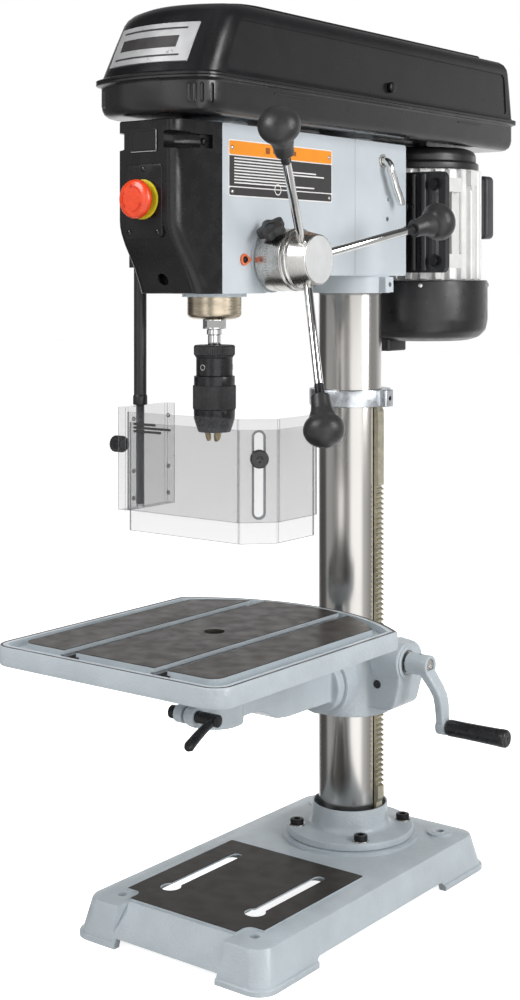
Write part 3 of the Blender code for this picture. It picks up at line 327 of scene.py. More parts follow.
def finish(name, colour, roughness, metallic=0.0, spread=0.12, patch=30.0, rough_spread=0.08,
           stretch=(1, 1, 1),
           bump=0.0, bump_size=1.0, cells=False, hollow_tint=None, coat=0.0, alpha=1.0, ior=1.5, specular=0.5):
    """A procedural finish: mottled colour and roughness, a fine bump and, with hollow_tint, a colour blended
    into inner corners and hollows.

    patch and bump_size are in millimetres. stretch squeezes the pattern along an axis.
    """
    material = bpy.data.materials.new(name)
    material.use_nodes = True
    tree = material.node_tree
    shader = tree.nodes["Principled BSDF"]
    shader.inputs["Metallic"].default_value = metallic
    shader.inputs["Coat Weight"].default_value = coat
    shader.inputs["Coat Roughness"].default_value = 0.12
    shader.inputs["IOR"].default_value = ior
    shader.inputs["Specular IOR Level"].default_value = specular
    shader.inputs["Alpha"].default_value = alpha

    place = tree.nodes.new("ShaderNodeTexCoord")
    mapping = tree.nodes.new("ShaderNodeMapping")
    mapping.inputs["Scale"].default_value = stretch
    tree.links.new(place.outputs["Object"], mapping.inputs["Vector"])

    def noise(size, detail):
        texture = tree.nodes.new("ShaderNodeTexNoise")
        texture.inputs["Scale"].default_value = 1000.0 / size
        texture.inputs["Detail"].default_value = detail
        tree.links.new(mapping.outputs["Vector"], texture.inputs["Vector"])
        return texture.outputs["Fac"]

    def remap(value, low, high, out_low, out_high):
        node = tree.nodes.new("ShaderNodeMapRange")
        node.inputs["From Min"].default_value = low
        node.inputs["From Max"].default_value = high
        node.inputs["To Min"].default_value = out_low
        node.inputs["To Max"].default_value = out_high
        tree.links.new(value, node.inputs["Value"])
        return node.outputs["Result"]

    def blend(fac, first, second):
        node = tree.nodes.new("ShaderNodeMix")
        node.data_type = "RGBA"
        tree.links.new(fac, node.inputs["Factor"])
        for socket, value in (("A", first), ("B", second)):
            target = next(s for s in node.inputs if s.name == socket and s.type == "RGBA")
            if isinstance(value, tuple):
                target.default_value = (*value, 1.0)
            else:
                tree.links.new(value, target)
        return next(s for s in node.outputs if s.type == "RGBA")

    mottle = noise(patch, 5.0)
    dark = tuple(c * (1 - spread) for c in colour)
    light = tuple(min(1.0, c * (1 + spread)) for c in colour)
    result = blend(remap(mottle, 0.3, 0.7, 0.0, 1.0), dark, light)
    # The tint colour is blended in by pointiness between the two given values; when the first value is the
    # higher, as for the cast grey, inner corners and hollows take it and come out darker.
    if hollow_tint:
        edges = tree.nodes.new("ShaderNodeNewGeometry").outputs["Pointiness"]
        hollow_share = remap(edges, hollow_tint[1], hollow_tint[2], 0.0, hollow_tint[3])
        result = blend(hollow_share, result, hollow_tint[0])
    tree.links.new(result, shader.inputs["Base Color"])
    rough = remap(noise(patch * 0.45, 4.0), 0.3, 0.7, roughness - rough_spread, roughness + rough_spread)
    tree.links.new(rough, shader.inputs["Roughness"])
    if bump:
        if cells:
            texture = tree.nodes.new("ShaderNodeTexVoronoi")
            texture.feature = "SMOOTH_F1"
            texture.inputs["Scale"].default_value = 1000.0 / bump_size
            tree.links.new(mapping.outputs["Vector"], texture.inputs["Vector"])
            height = texture.outputs["Distance"]
        else:
            height = noise(bump_size, 3.0)
        relief = tree.nodes.new("ShaderNodeBump")
        relief.inputs["Strength"].default_value = bump
        relief.inputs["Distance"].default_value = bump_size * MM * 0.3
        tree.links.new(height, relief.inputs["Height"])
        tree.links.new(relief.outputs["Normal"], shader.inputs["Normal"])
    return material


# A dark colour blended into the cast grey's inner corners and hollows, which makes them darker.
HOLLOW_DARKENING = ((0.14, 0.13, 0.12), 0.47, 0.38, 0.6)
CAST_GREY = finish("cast_grey", (0.44, 0.49, 0.523), 0.38, spread=0.07, patch=40, bump=0.5, bump_size=2.6,
                   cells=True, hollow_tint=HOLLOW_DARKENING, coat=0.25)
HEAD_GREY = finish("head_grey", (0.55, 0.60, 0.638), 0.36, spread=0.04, patch=60, bump=0.12, bump_size=1.2,
                   coat=0.2)
MACHINED = finish("machined_dark", (0.030, 0.0255, 0.022), 0.36, 0.1, spread=0.2, patch=45, rough_spread=0.07,
                  bump=0.06, bump_size=0.7, specular=0.16)
COLUMN_STEEL = finish("column_steel", (0.50, 0.485, 0.465), 0.2, 1.0, spread=0.06, patch=70,
                      rough_spread=0.05,
                      stretch=(1.0, 1.0, 0.25), bump=0.03, bump_size=0.7)
STEEL = finish("bright_steel", (0.60, 0.585, 0.56), 0.26, 1.0, spread=0.1, patch=14, bump=0.06, bump_size=0.6)
TURNED = finish("turned_steel", (0.55, 0.54, 0.52), 0.27, 1.0, spread=0.06, patch=10, rough_spread=0.03,
                stretch=(6.0, 1.0, 1.0), bump=0.02, bump_size=1.4)
BEARING = finish("quill_steel", (0.50, 0.43, 0.33), 0.28, 1.0, spread=0.22, patch=18, stretch=(0.5, 0.5, 3.0),
                 bump=0.06, bump_size=0.8)
ZINC = finish("zinc", (0.60, 0.56, 0.44), 0.36, 1.0, spread=0.18, patch=9, bump=0.15, bump_size=0.8)
COLLAR_ZINC = finish("collar_zinc", (0.60, 0.63, 0.66), 0.3, 1.0, spread=0.15, patch=12, bump=0.1,
                     bump_size=0.9)
CHROME = finish("chrome", (0.78, 0.78, 0.77), 0.09, 1.0, spread=0.04, patch=18, rough_spread=0.03)
BLACKENED = finish("blackened_steel", (0.018, 0.018, 0.02), 0.27, 0.35, spread=0.25, patch=10, bump=0.08,
                   bump_size=0.7)
KNURL = finish("knurled_black", (0.03, 0.03, 0.032), 0.5, 0.25, spread=0.25, patch=6, bump=0.55,
               bump_size=0.9,
               cells=True)
BLACK_BOLT = finish("black_bolt", (0.012, 0.012, 0.013), 0.34, 0.5, spread=0.3, patch=5, bump=0.1,
                    bump_size=0.6)
LID_BLACK = finish("cover_black", (0.010, 0.010, 0.011), 0.24, spread=0.15, patch=50, rough_spread=0.05,
                   bump=0.2,
                   bump_size=0.9, coat=0.12, specular=0.34)
PAN_BLACK = finish("pan_black", (0.013, 0.013, 0.014), 0.3, spread=0.15, patch=50, rough_spread=0.05,
                   bump=0.25,
                   bump_size=0.8, coat=0.3, specular=0.4)
COVER_PLASTIC = finish("cover_plastic", (0.009, 0.009, 0.010), 0.27, spread=0.12, patch=35, bump=0.12,
                       bump_size=0.7,
                       specular=0.32)
GLOSS_BLACK = finish("gloss_black", (0.008, 0.008, 0.009), 0.12, spread=0.2, patch=20, bump=0.03,
                     bump_size=2.0)
KNOB_BLACK = finish("knob_black", (0.022, 0.022, 0.023), 0.4, spread=0.12, patch=14, bump=0.1, bump_size=0.5)
GRIP_BLACK = finish("grip_black", (0.014, 0.014, 0.015), 0.3, spread=0.2, patch=10, bump=0.08, bump_size=0.6)
MOTOR_BLACK = finish("motor_black", (0.012, 0.012, 0.013), 0.34, spread=0.2, patch=25, bump=0.2,
                     bump_size=0.9)
ALUMINIUM = finish("fin_aluminium", (0.76, 0.76, 0.75), 0.48, 0.35, spread=0.05, patch=14, bump=0.06,
                   bump_size=0.9)
DULL_ALLOY = finish("dull_alloy", (0.42, 0.42, 0.43), 0.42, 0.8, spread=0.15, patch=14, bump=0.25,
                    bump_size=1.0)
HUB_FACE = finish("hub_face", (0.66, 0.665, 0.67), 0.42, 0.35, spread=0.05, patch=16, bump=0.06,
                  bump_size=0.8)
BOX_GREY = finish("box_grey", (0.045, 0.046, 0.05), 0.42, spread=0.12, patch=30, bump=0.15, bump_size=0.9)
CLEAR = finish("clear_sheet", (0.12, 0.125, 0.13), 0.07, spread=0.03, patch=80, rough_spread=0.02,
               alpha=0.165,
               bump=0.02, bump_size=6.0, ior=1.45)
CLEAR_EDGE = finish("clear_edge", (0.16, 0.175, 0.185), 0.12, spread=0.15, patch=14, rough_spread=0.03,
                    alpha=0.72,
                    bump=0.03, bump_size=3.0, ior=1.45)
RED = finish("button_red", (0.80, 0.06, 0.010), 0.3, spread=0.06, patch=9, bump=0.04, bump_size=0.6, coat=0.4)
SIGN_BROWN = finish("label_brown", (0.30, 0.075, 0.008), 0.4, spread=0.05, patch=12, bump=0.02, bump_size=0.8)
RED_MARK = finish("button_marks", (0.64, 0.038, 0.010), 0.36, spread=0.06, patch=9, bump=0.04, bump_size=0.6)
YELLOW = finish("ring_yellow", (0.72, 0.62, 0.02), 0.36, spread=0.08, patch=9, bump=0.05, bump_size=0.6)
ORANGE = finish("label_orange", (0.90, 0.30, 0.01), 0.35, spread=0.03, patch=20, bump=0.02, bump_size=0.8)
WHITE = finish("label_white", (0.82, 0.82, 0.80), 0.4, spread=0.03, patch=12, bump=0.02, bump_size=0.8)
LABEL_DARK = finish("label_dark", (0.035, 0.033, 0.033), 0.36, spread=0.08, patch=18, bump=0.03,
                    bump_size=0.8)
SILVER_PLATE = finish("silver_plate", (0.52, 0.525, 0.53), 0.34, 0.45, spread=0.04, patch=25, bump=0.03,
                      bump_size=0.9)
POINTER = finish("pointer_orange", (0.78, 0.17, 0.06), 0.35, spread=0.12, patch=4, bump=0.06, bump_size=0.6)
BRASS = finish("brass", (0.62, 0.47, 0.2), 0.3, 1.0, spread=0.1, patch=5, bump=0.06, bump_size=0.5)
RUBBER = finish("belt_rubber", (0.02, 0.02, 0.02), 0.7, spread=0.25, patch=6, bump=0.3, bump_size=0.8)
DARK_GAP = finish("shadow_gap", (0.006, 0.006, 0.006), 0.8, spread=0.2, patch=10, bump=0.1, bump_size=1.0)

# ---------------------------------------------------------------- small fastenings


def pan_screw(foot, direction, radius=3.5):
    """A dome-headed screw with a crossed recess, standing on foot."""
    r = radius
    dome = turned([(0, -1), (r, -1), (r, r * 0.15), (r * 0.8, r * 0.42), (r * 0.4, r * 0.55),
                   (0, r * 0.58)], 32)
    arm, half = r * 0.58, r * 0.14
    cross = [box((-arm, arm), (-half, half), (r * 0.2, r)), box((-half, half), (-arm, arm), (r * 0.2, r))]
    return aim(shaped(dome, cuts=cross), foot, direction)


def cap_screw(foot, direction, radius=5.0, height=5.0):
    """A cylinder-headed screw with a six-sided socket."""
    head = turned(soft([(0, -2), (radius, -2), (radius, height), (0, height)], radius * 0.18), 40)
    socket = prism(circle((0, 0), radius * 0.52, 6), height * 0.35, height + 1)
    return aim(shaped(head, cuts=[socket]), foot, direction)


def hex_bolt(foot, direction, radius, height):
    chamfer = turned([(0, -1), (radius * 1.2, -1), (radius * 1.2, height - radius * 0.3),
                      (radius * 0.86, height),
                      (0, height)], 48)
    cutter = shaped(rod((0, 0), radius * 2, -2, height + 2, count=24),
                    cuts=[prism(circle((0, 0), radius, 6), -3, height + 3)])
    return aim(shaped(chamfer, cuts=[cutter]), foot, direction)


def washer(foot, direction, outer, inner, thick):
    return aim(tube(outer, inner, 0, thick, 48, edge=thick * 0.25), foot, direction)


def slab(grid, offset):
    """A thin closed plate between a grid of points and the same grid shifted by an offset."""
    mesh = bmesh.new()
    rows, columns = len(grid), len(grid[0])
    offset = Vector(offset)
    near = [[mesh.verts.new(Vector(point) + offset) for point in row] for row in grid]
    far = [[mesh.verts.new(point) for point in row] for row in grid]
    for i in range(rows - 1):
        for j in range(columns - 1):
            for side in (near, far):
                mesh.faces.new((side[i][j], side[i + 1][j], side[i + 1][j + 1], side[i][j + 1]))
    edge = [(i, 0) for i in range(rows)] + [(rows - 1, j) for j in range(1, columns)]
    edge += [(i, columns - 1) for i in range(rows - 2, -1, -1)] + [(0, j) for j in range(columns - 2, 0, -1)]
    for (a, b), (c, d) in zip(edge, edge[1:] + edge[:1]):
        mesh.faces.new((near[a][b], near[c][d], far[c][d], far[a][b]))
    return mesh


def ribbed(radius, depth, count, low, high, axis="Z", centre=(0, 0), edge=0.8):
    """A round grip with lengthwise grooves and eased ends."""
    sections = []
    for along, inset in ((low, edge), (low + edge, 0), (high - edge, 0), (high, edge)):
        section = []
        for i in range(count * 4):
            r = radius - inset - depth * (0.5 - 0.5 * math.cos(math.tau * i / 4)) ** 1.5
            angle = math.tau * i / (count * 4)
            section.append(lay(axis, centre[0] + r * math.cos(angle), centre[1] + r * math.sin(angle), along))
        sections.append(section)
    return loft(sections)


# ---------------------------------------------------------------- base and column

BASE_HALF, BASE_FRONT, BASE_REAR, BASE_TOP, PAD_TOP = 137.5, -362.0, 111.0, 44.0, 47.0
BASE_WALL, SLOT_X, SLOT_HALF, SLOT_FRONT, SLOT_REAR, KEYHOLE_R = 9.0, 61.0, 7.0, -277.0, -148.0, 12.0
COLUMN_R, COLUMN_BORE, COLUMN_TOP, GAP = 40.0, 33.0, 858.0, 0.3
FLANGE_R, FLANGE_TOP, SOCKET_R, SOCKET_TOP, BOLT_CIRCLE = 80.0, 57.5, 47.2, 86.0, 68.0
RACK_IN, RACK_HALF, RACK_TOP, COLLAR_R, COLLAR_LOW, COLLAR_HIGH = 40.5, 6.5, 585.5, 52.0, 586.0, 607.0
RACK_PITCH_X, TOOTH_PITCH, ADDENDUM, DEDENDUM, PINION_Z = 45.0, 2 * math.pi, 1.6, 2.0, 246.5
PAD_SKIN = 0.6


def base_level(inset, z):
    r = 24 - inset * 0.3
    return [(x, y, z) for x, y in rounded([
        (-BASE_HALF + inset, BASE_FRONT + inset, r), (BASE_HALF - inset, BASE_FRONT + inset, r),
        (BASE_HALF - inset, BASE_REAR - inset, r), (-BASE_HALF + inset, BASE_REAR - inset, r)], 8)]


def keyhole(side, low, high):
    x = side * SLOT_X
    half_angle = math.degrees(math.asin(SLOT_HALF / KEYHOLE_R))
    entry = arc((x, SLOT_FRONT), KEYHOLE_R, 90 + half_angle, 450 - half_angle, 32)
    back = arc((x, SLOT_REAR - SLOT_HALF), SLOT_HALF, 0, 180, 16)
    return prism(entry + back, low, high)


def corner_pockets():
    """The two shallow pockets that cut the pad's front corners away."""
    pockets = []
    for side in (-1, 1):
        corner = [(side * 76, -347, 4), (side * 112, -347, 6), (side * 112, -309, 4), (side * 76, -309, 10)]
        pockets.append(prism(rounded(corner[::side]), BASE_TOP + 0.01, 60))
    return pockets


def build_base():
    levels = [(0.6, 0), (0, 0.6), (0, 5.4), (0.8, 6.6), (3, 7.5), (11.3, BASE_TOP - 2.4),
              (12.2, BASE_TOP - 0.7),
              (14, BASE_TOP)]
    pad = rounded([(-98, -330, 3), (98, -330, 3), (98, -117, 3), (-98, -117, 3)])
    joins = [prism(pad, BASE_TOP - 2, PAD_TOP - PAD_SKIN), rod((0, 0), 86, BASE_TOP - 2, 48, count=96)]
    joins += [rod((x, 65), 15, BASE_TOP - 2, 47, count=48) for x in (-92, 92)]
    hollow = loft([base_level(BASE_WALL, -1), base_level(BASE_WALL + 10, 34)])
    base = shaped(loft([base_level(inset, z) for inset, z in levels]), joins, [hollow])
    backing = [(-357.5, 9), (-344, 9), (-318, 37), (-342, 37)]
    apron = [(77.5, -357.5, 15), (75.5, -333, BASE_TOP), (75, -333, 60)]
    cuts = corner_pockets()
    cuts.append(loft([[(-x, -380, z), (x, -380, z), (x, y, z), (-x, y, z)] for x, y, z in apron]))
    base = shaped(base, [prism(backing, -82, 82, "X")], cuts)
    arch = rounded([(-262, -1, 0), (5, -1, 0), (5, 11, 7), (-262, 11, 7)])
    cuts = [box((-72, 72), (-380, -300), (-1, 11)), prism(arch, -150, 150, "X")]
    for side in (-1, 1):
        relief = plate((side * SLOT_X - 26, side * SLOT_X + 26), (SLOT_FRONT - 24, SLOT_REAR + 14), 12)
        cuts += [keyhole(side, 20, 60), prism(relief(0), 20, 44.6),
                 rod((side * 95, -322), 5.5, 20, 60, count=32),
                 rod((side * 92, 65), 5.5, 20, 60, count=32)]
    base = shaped(base, cuts=cuts)
    piece("base_casting", base, CAST_GREY, "stand", "base", bevel=0.9, slot="cast_grey")
    skin = shaped(prism(pad, PAD_TOP - PAD_SKIN, PAD_TOP),
                  cuts=[keyhole(-1, 40, 60), keyhole(1, 40, 60)] + corner_pockets())
    piece("base_pad", skin, MACHINED, "stand", bevel=0.2)
    for side in (-1, 1):
        ring = tube(11, 5.6, 46.9, 47.4, 48, "Z", (side * 92, 65), 0.2)
        piece(f"rear_boss_{'left' if side < 0 else 'right'}", ring, CAST_GREY, "stand")


def build_column():
    profile = [(COLUMN_R + GAP, 48.3), (FLANGE_R, 48.3), (FLANGE_R, FLANGE_TOP), (SOCKET_R + 6, FLANGE_TOP),
               (SOCKET_R + 1.5, FLANGE_TOP + 2), (SOCKET_R, FLANGE_TOP + 7), (SOCKET_R, SOCKET_TOP),
               (45, SOCKET_TOP),
               (45, 55), (COLUMN_R + GAP, 55), (COLUMN_R + GAP, 48.3)]
    flange = turned(soft(profile, 2.0)[:-1], 128, closed=True)
    holes = circle((0, 0), BOLT_CIRCLE, 4, 45)
    flange = shaped(flange, cuts=[rod(at, 5.6, 40, 80, count=32) for at in holes])
    piece("flange", flange, CAST_GREY, "stand", "column_flange", slot="cast_grey")
    for i, (x, y) in enumerate(holes):
        piece(f"flange_screw_{i + 1}", cap_screw((x, y, FLANGE_TOP + 1.2), (0, 0, 1), 8.5, 6.5), BLACK_BOLT,
              "stand",
              f"flange_bolt_{i + 1}", slot="dark_steel")
        piece(f"flange_washer_{i + 1}", washer((x, y, FLANGE_TOP), (0, 0, 1), 10.5, 5.5, 1.3), STEEL, "stand")
    piece("column_tube", tube(COLUMN_R, COLUMN_BORE, 48.6, COLUMN_TOP, 144, edge=1.2), COLUMN_STEEL,
          "stand", "column",
          slot="bright_steel")
    lug = pillow(plate((COLLAR_R - 4, COLLAR_R + 8), (-9, 9), 2.5), COLLAR_LOW, COLLAR_HIGH, 1)
    middle = (COLLAR_LOW + COLLAR_HIGH) / 2
    piece("collar", shaped(tube(COLLAR_R, COLUMN_R + GAP, COLLAR_LOW, COLLAR_HIGH, 128, edge=1.2), [lug],
                           [rod((0, middle), 3, 44, 70, "X", 32)]), COLLAR_ZINC, "stand", "rack_collar",
                           slot="zinc")
    piece("collar_screw", cap_screw((COLLAR_R + 4, 0, middle), (1, 0, 0), 2.9, 3), BLACK_BOLT, "stand")


def build_rack():
    slope = math.tan(math.radians(20))
    tip = RACK_PITCH_X + ADDENDUM
    outline = [(RACK_IN, 56), (44.0, 56), (44.0, 92), (tip, 97)]
    first = math.ceil((110 - PINION_Z) / TOOTH_PITCH)
    last = math.floor((486 - PINION_Z) / TOOTH_PITCH)
    half = TOOTH_PITCH / 4 + 0.125
    for i in range(first, last + 1):
        middle = PINION_Z + i * TOOTH_PITCH
        wide, narrow = half + ADDENDUM * slope, half - DEDENDUM * slope
        root = RACK_PITCH_X - DEDENDUM
        outline += [(tip - 0.3, middle - wide - 0.1), (tip, middle - wide)][::-1]
        outline += [(root + 0.3, middle - narrow - 0.1), (root, middle - narrow + 0.2),
                    (root, middle + narrow - 0.2),
                    (root + 0.3, middle + narrow + 0.1), (tip - 0.3, middle + wide + 0.1),
                    (tip, middle + wide)]
    outline += [(tip, RACK_TOP - 6), (44.0, RACK_TOP), (RACK_IN, RACK_TOP)]
    outline = list(dict.fromkeys(outline))
    piece("rack_bar", prism(outline, -RACK_HALF, RACK_HALF, "Y"), ZINC, "swing_rack", "rack", slot="zinc",
          angle=20)


# ---------------------------------------------------------------- table lift

CRANK_Y, CRANK_Z, GRIP_Y, GRIP_Z, PINION_X, TILT_Z = -12.0, 275.5, -4.0, 203.0, 59.0, 246.0


def build_bracket():
    body = rod((0, 0), 53, 204, 300, count=96)
    housing = rounded([(30, 216, 0), (82, 216, 14), (91, 250, 8), (91, 292, 16), (60, 296, 14), (30, 286, 0)])
    joins = [rod((0, TILT_Z), 39, -62, -20, "Y", 72), prism(housing, -28, 26, "Y"),
             rod((CRANK_Y, CRANK_Z), 23, 52, 92, "X", 64),
             prism(rounded([(-76, 216, 8), (-40, 210, 0), (-40, 290, 0), (-76, 284, 8)]), -15, 15, "Y")]
    body = cast(shaped(body, joins), 1.5, 5)
    trims = [box((-60, 60), (-90, -61.9), (180, 320)), box((91.6, 110), (-60, 60), (180, 330))]
    cuts = [rod((0, 0), COLUMN_R + GAP, 190, 310, count=96), box((30, 47.6), (-7.3, 7.3), (190, 310)),
            rod((PINION_X, PINION_Z), 17.6, -20.5, 8.5, "Y", 48),
            rod((PINION_X, PINION_Z), 5.3, -40, 40, "Y", 32),
            rod((CRANK_Y, CRANK_Z), 14.6, 44, 110, "X", 48), box((-90, -36), (-1.5, 1.5), (190, 310)),
            rod((-64, 250), 5.3, -30, 30, "Y", 32), rod((0, TILT_Z), 8.3, -90, -44, "Y", 32)]
    piece("lift_bracket", shaped(body, cuts=trims + cuts), CAST_GREY, "bracket", "table_bracket",
          slot="cast_grey",
          angle=40)
    # The pin has the near-black finish, which makes its end a dark spot on the bracket's housing face.
    pin = turned(soft([(0, -29.5), (4.9, -29.5), (4.9, 25.5), (0, 25.5)], 0.8), 40, "Y", (PINION_X, PINION_Z))
    piece("gear_pin", pin, BLACKENED, "bracket", "pinion_pin", slot="bright_steel")
    lip = turned(soft([(14.7, 91.4), (19.5, 91.4), (19.5, 93.6), (14.7, 93.6), (14.7, 91.4)], 0.5)[:-1], 72,
                 "X",
                 (CRANK_Y, CRANK_Z), True)
    piece("crank_boss_ring", lip, CAST_GREY, "bracket")
    piece("clamp_washer", washer((-64, 15, 250), (0, 1, 0), 10, 5.4, 0.3), STEEL, "bracket")


def build_crank():
    centre = (CRANK_Y, CRANK_Z)
    hub = [(8.3, 96), (12.8, 96), (12.8, 126), (8.3, 126), (8.3, 96)]
    arm = turned(soft(hub, 1.2)[:-1], 64, "X", centre, True)
    path = [(119, 0.08), (125, 0.2), (132, 0.34), (137, 0.48), (138.5, 0.64), (138.5, 0.8), (138.5, 1.0)]
    sections = []
    for i in range(25):
        s = i / 24 * (len(path) - 1)
        k = min(int(s), len(path) - 2)
        x = path[k][0] + (path[k + 1][0] - path[k][0]) * (s - k)
        t = path[k][1] + (path[k + 1][1] - path[k][1]) * (s - k)
        y, z = CRANK_Y + (GRIP_Y - CRANK_Y) * t, CRANK_Z + (GRIP_Z - CRANK_Z) * t
        wide = 11 - 3 * t
        tilt = 0.35 * max(0.0, 1 - t * 2) + 0.05
        ring = rounded([(-6, -wide, 3.5), (6, -wide, 3.5), (6, wide, 3.5), (-6, wide, 3.5)], 5)
        sections.append([(x + u, y + v, z + u * tilt) for u, v in ring])
    eye = soft([(0, 132.5), (9.8, 132.5), (9.8, 144.5), (4.6, 144.5), (4.6, 222), (0, 222)], 1.0)
    joins = [loft(sections), turned(eye, 56, "X", (GRIP_Y, GRIP_Z))]
    cuts = [rod(centre, 8 + GAP, 90, 125.5, "X", 48),
            rod((111, CRANK_Y), 2.6, CRANK_Z + 6, CRANK_Z + 20, "Z", 24)]
    piece("crank_lever", shaped(shaped(arm, joins), cuts=cuts), CAST_GREY, "crank", "crank_arm",
          slot="cast_grey")
    end = turned(soft([(0, 121), (7.9, 121), (7.9, 124.6), (3, 124.6), (2.2, 123), (0, 122.8)], 0.4), 48,
                 "X", centre)
    piece("crank_shaft_end", end, STEEL, "crank")
    grip = [(4.9, 146), (9, 146), (10, 148.5), (9.8, 170), (10.1, 195), (10.4, 214), (10.8, 219),
            (10.6, 224.5),
            (8.8, 226.5), (3.2, 226.5), (2.6, 225.5), (0, 225.3), (0, 223), (4.9, 223)]
    piece("crank_handle_grip", turned(soft(grip, 1.4), 64, "X", (GRIP_Y, GRIP_Z), True), GRIP_BLACK,
          "crank_handle",
          "crank_grip", slot="black_plastic")
    x, z = -64, 250
    bolt = [(0, -22), (9, -22), (9, -15.3), (5, -15.3), (5, 15.3), (9, 15.3), (9, 27), (0, 27)]
    lever = shaped(turned(soft(bolt, 0.8), 40, "Y", (x, z)),
                   [sweep([(x, 21, z), (x - 12, 22, z - 14), (x - 24, 23, z - 28), (x - 36, 25, z - 41),
                           (x - 44.5, 26.8, z - 52.3), (x - 46, 27, z - 54)],
                           [4.5, 4.5, 4.5, 5.6, 6.5, 5.2])])
    piece("column_lock_lever", lever, BLACKENED, "column_lever", "column_clamp_lever", slot="dark_steel")


# ---------------------------------------------------------------- table

SPINDLE_Y, TABLE_HALF, TABLE_FRONT, TABLE_REAR, TABLE_BOW = -273.0, 160.7, -463.5, -141.8, 58.0
TABLE_TOP, RIM_LOW, CHANNEL_Z, RIM_WALL = 347.6, 323.7, 338.0, 8.5
STEM_R, CLAMP_Y, CLAMP_Z = 18.0, -320.0, 264.0
LAND_SKIN, SLOT_END, RIM_TOP = 0.6, -105.0, 345.6


def table_outline(inset, radius):
    half = TABLE_HALF - inset
    rear = TABLE_REAR - inset * 0.8
    bow_r = (half * half + TABLE_BOW**2) / (2 * TABLE_BOW)
    swing = math.degrees(math.asin(half / bow_r))
    crown = (0, rear + TABLE_BOW - bow_r)
    lip = TABLE_FRONT + inset
    front = rounded([(-half, lip, radius), (half, lip, radius), (half, rear, 0), (-half, rear, 0)], 8)
    return front[:-2] + arc(crown, bow_r, 90 - swing, 90 + swing, 36)


def table_level(inset, z, radius=22, shift=0):
    return [(x, y + shift * (y > -300), z) for x, y in table_outline(inset, radius)]


def table_slots(low, high):
    cuts = []
    for side in (-1, 1):
        x = side * 64
        cuts.append(box((x - 9, x + 9), (-452, SLOT_END), (low, high)))
    return cuts


def build_table():
    table = loft([table_level(3, RIM_LOW), table_level(1.2, RIM_LOW + 0.8), table_level(0.4, RIM_LOW + 2.5),
                  table_level(0, RIM_LOW + 5), table_level(0, RIM_TOP - 1.4), table_level(0.4, RIM_TOP - 0.5),
                  table_level(1.3, RIM_TOP)])
    channel = loft([table_level(RIM_WALL + 2.2, CHANNEL_Z, 16),
                    table_level(RIM_WALL + 1, CHANNEL_Z + 1.2, 16),
                    table_level(RIM_WALL, TABLE_TOP + 5, 16)])
    under = prism(table_outline(16, 12), RIM_LOW - 5, RIM_LOW + 4)
    table = shaped(table, cuts=[channel, under])
    land = loft([table_level(24.0, CHANNEL_Z - 4, 14, 5), table_level(24.5, TABLE_TOP - LAND_SKIN, 14, 5)])
    table = shaped(table, [land])
    cuts = table_slots(CHANNEL_Z, TABLE_TOP + 5)
    for side in (-1, 1):
        x = side * 64
        cuts.append(box((x - 13, x + 13), (-452, SLOT_END), (CHANNEL_Z - 0.01, CHANNEL_Z + 4.5)))
    table = shaped(table, cuts=cuts)
    stem = turned(soft([(0, 248), (STEM_R, 248), (STEM_R, 318.5), (44, 319.5), (44, 332), (0, 332)], 1.5),
                  72, "Z",
                  (0, SPINDLE_Y))
    boss = turned(soft([(0, 304), (11, 304), (11, 330), (0, 330)], 1.5), 48, "Z", (-45, -395))
    table = shaped(shaped(table, [stem, boss]), cuts=[rod((0, SPINDLE_Y), 12, 230, 360, count=64)])
    piece("table_casting", table, CAST_GREY, "table_plate", "table", bevel=0.5, slot="cast_iron")
    cuts = table_slots(340, 360) + [rod((0, SPINDLE_Y), 12, 230, 360, count=64)]
    skin = shaped(loft([table_level(24.5, TABLE_TOP - LAND_SKIN, 14, 5),
                        table_level(24.7, TABLE_TOP, 14, 5)]), cuts=cuts)
    piece("table_lands", skin, MACHINED, "table_plate", bevel=0.15)
    # A dark lining inside the table's centre hole: the bore's machined finish, darkened as painted shade for
    # the shadow on the hole's far wall.
    bore_shade = tube(12.3, 11.6, CHANNEL_Z - 6, TABLE_TOP - 0.1, 72, "Z", (0, SPINDLE_Y), 0.2)
    piece("table_hole_shade", bore_shade, MACHINED, "table_plate")
    floors = [box((side * 64 - 12.9, side * 64 + 12.9), (-451.5, SLOT_END - 0.1),
                  (CHANNEL_Z - 0.2, CHANNEL_Z + 0.2))
              for side in (-1, 1)]
    piece("table_slot_floors", together(*floors), MACHINED, "table_plate")
    edge = shaped(loft([table_level(1.1, RIM_TOP - 0.2), table_level(1.5, RIM_TOP + 0.15)]),
                  cuts=[loft([table_level(4.2, RIM_TOP - 2, 18), table_level(4.2, RIM_TOP + 5, 18)])])
    piece("table_rim_top", edge, MACHINED, "table_plate")


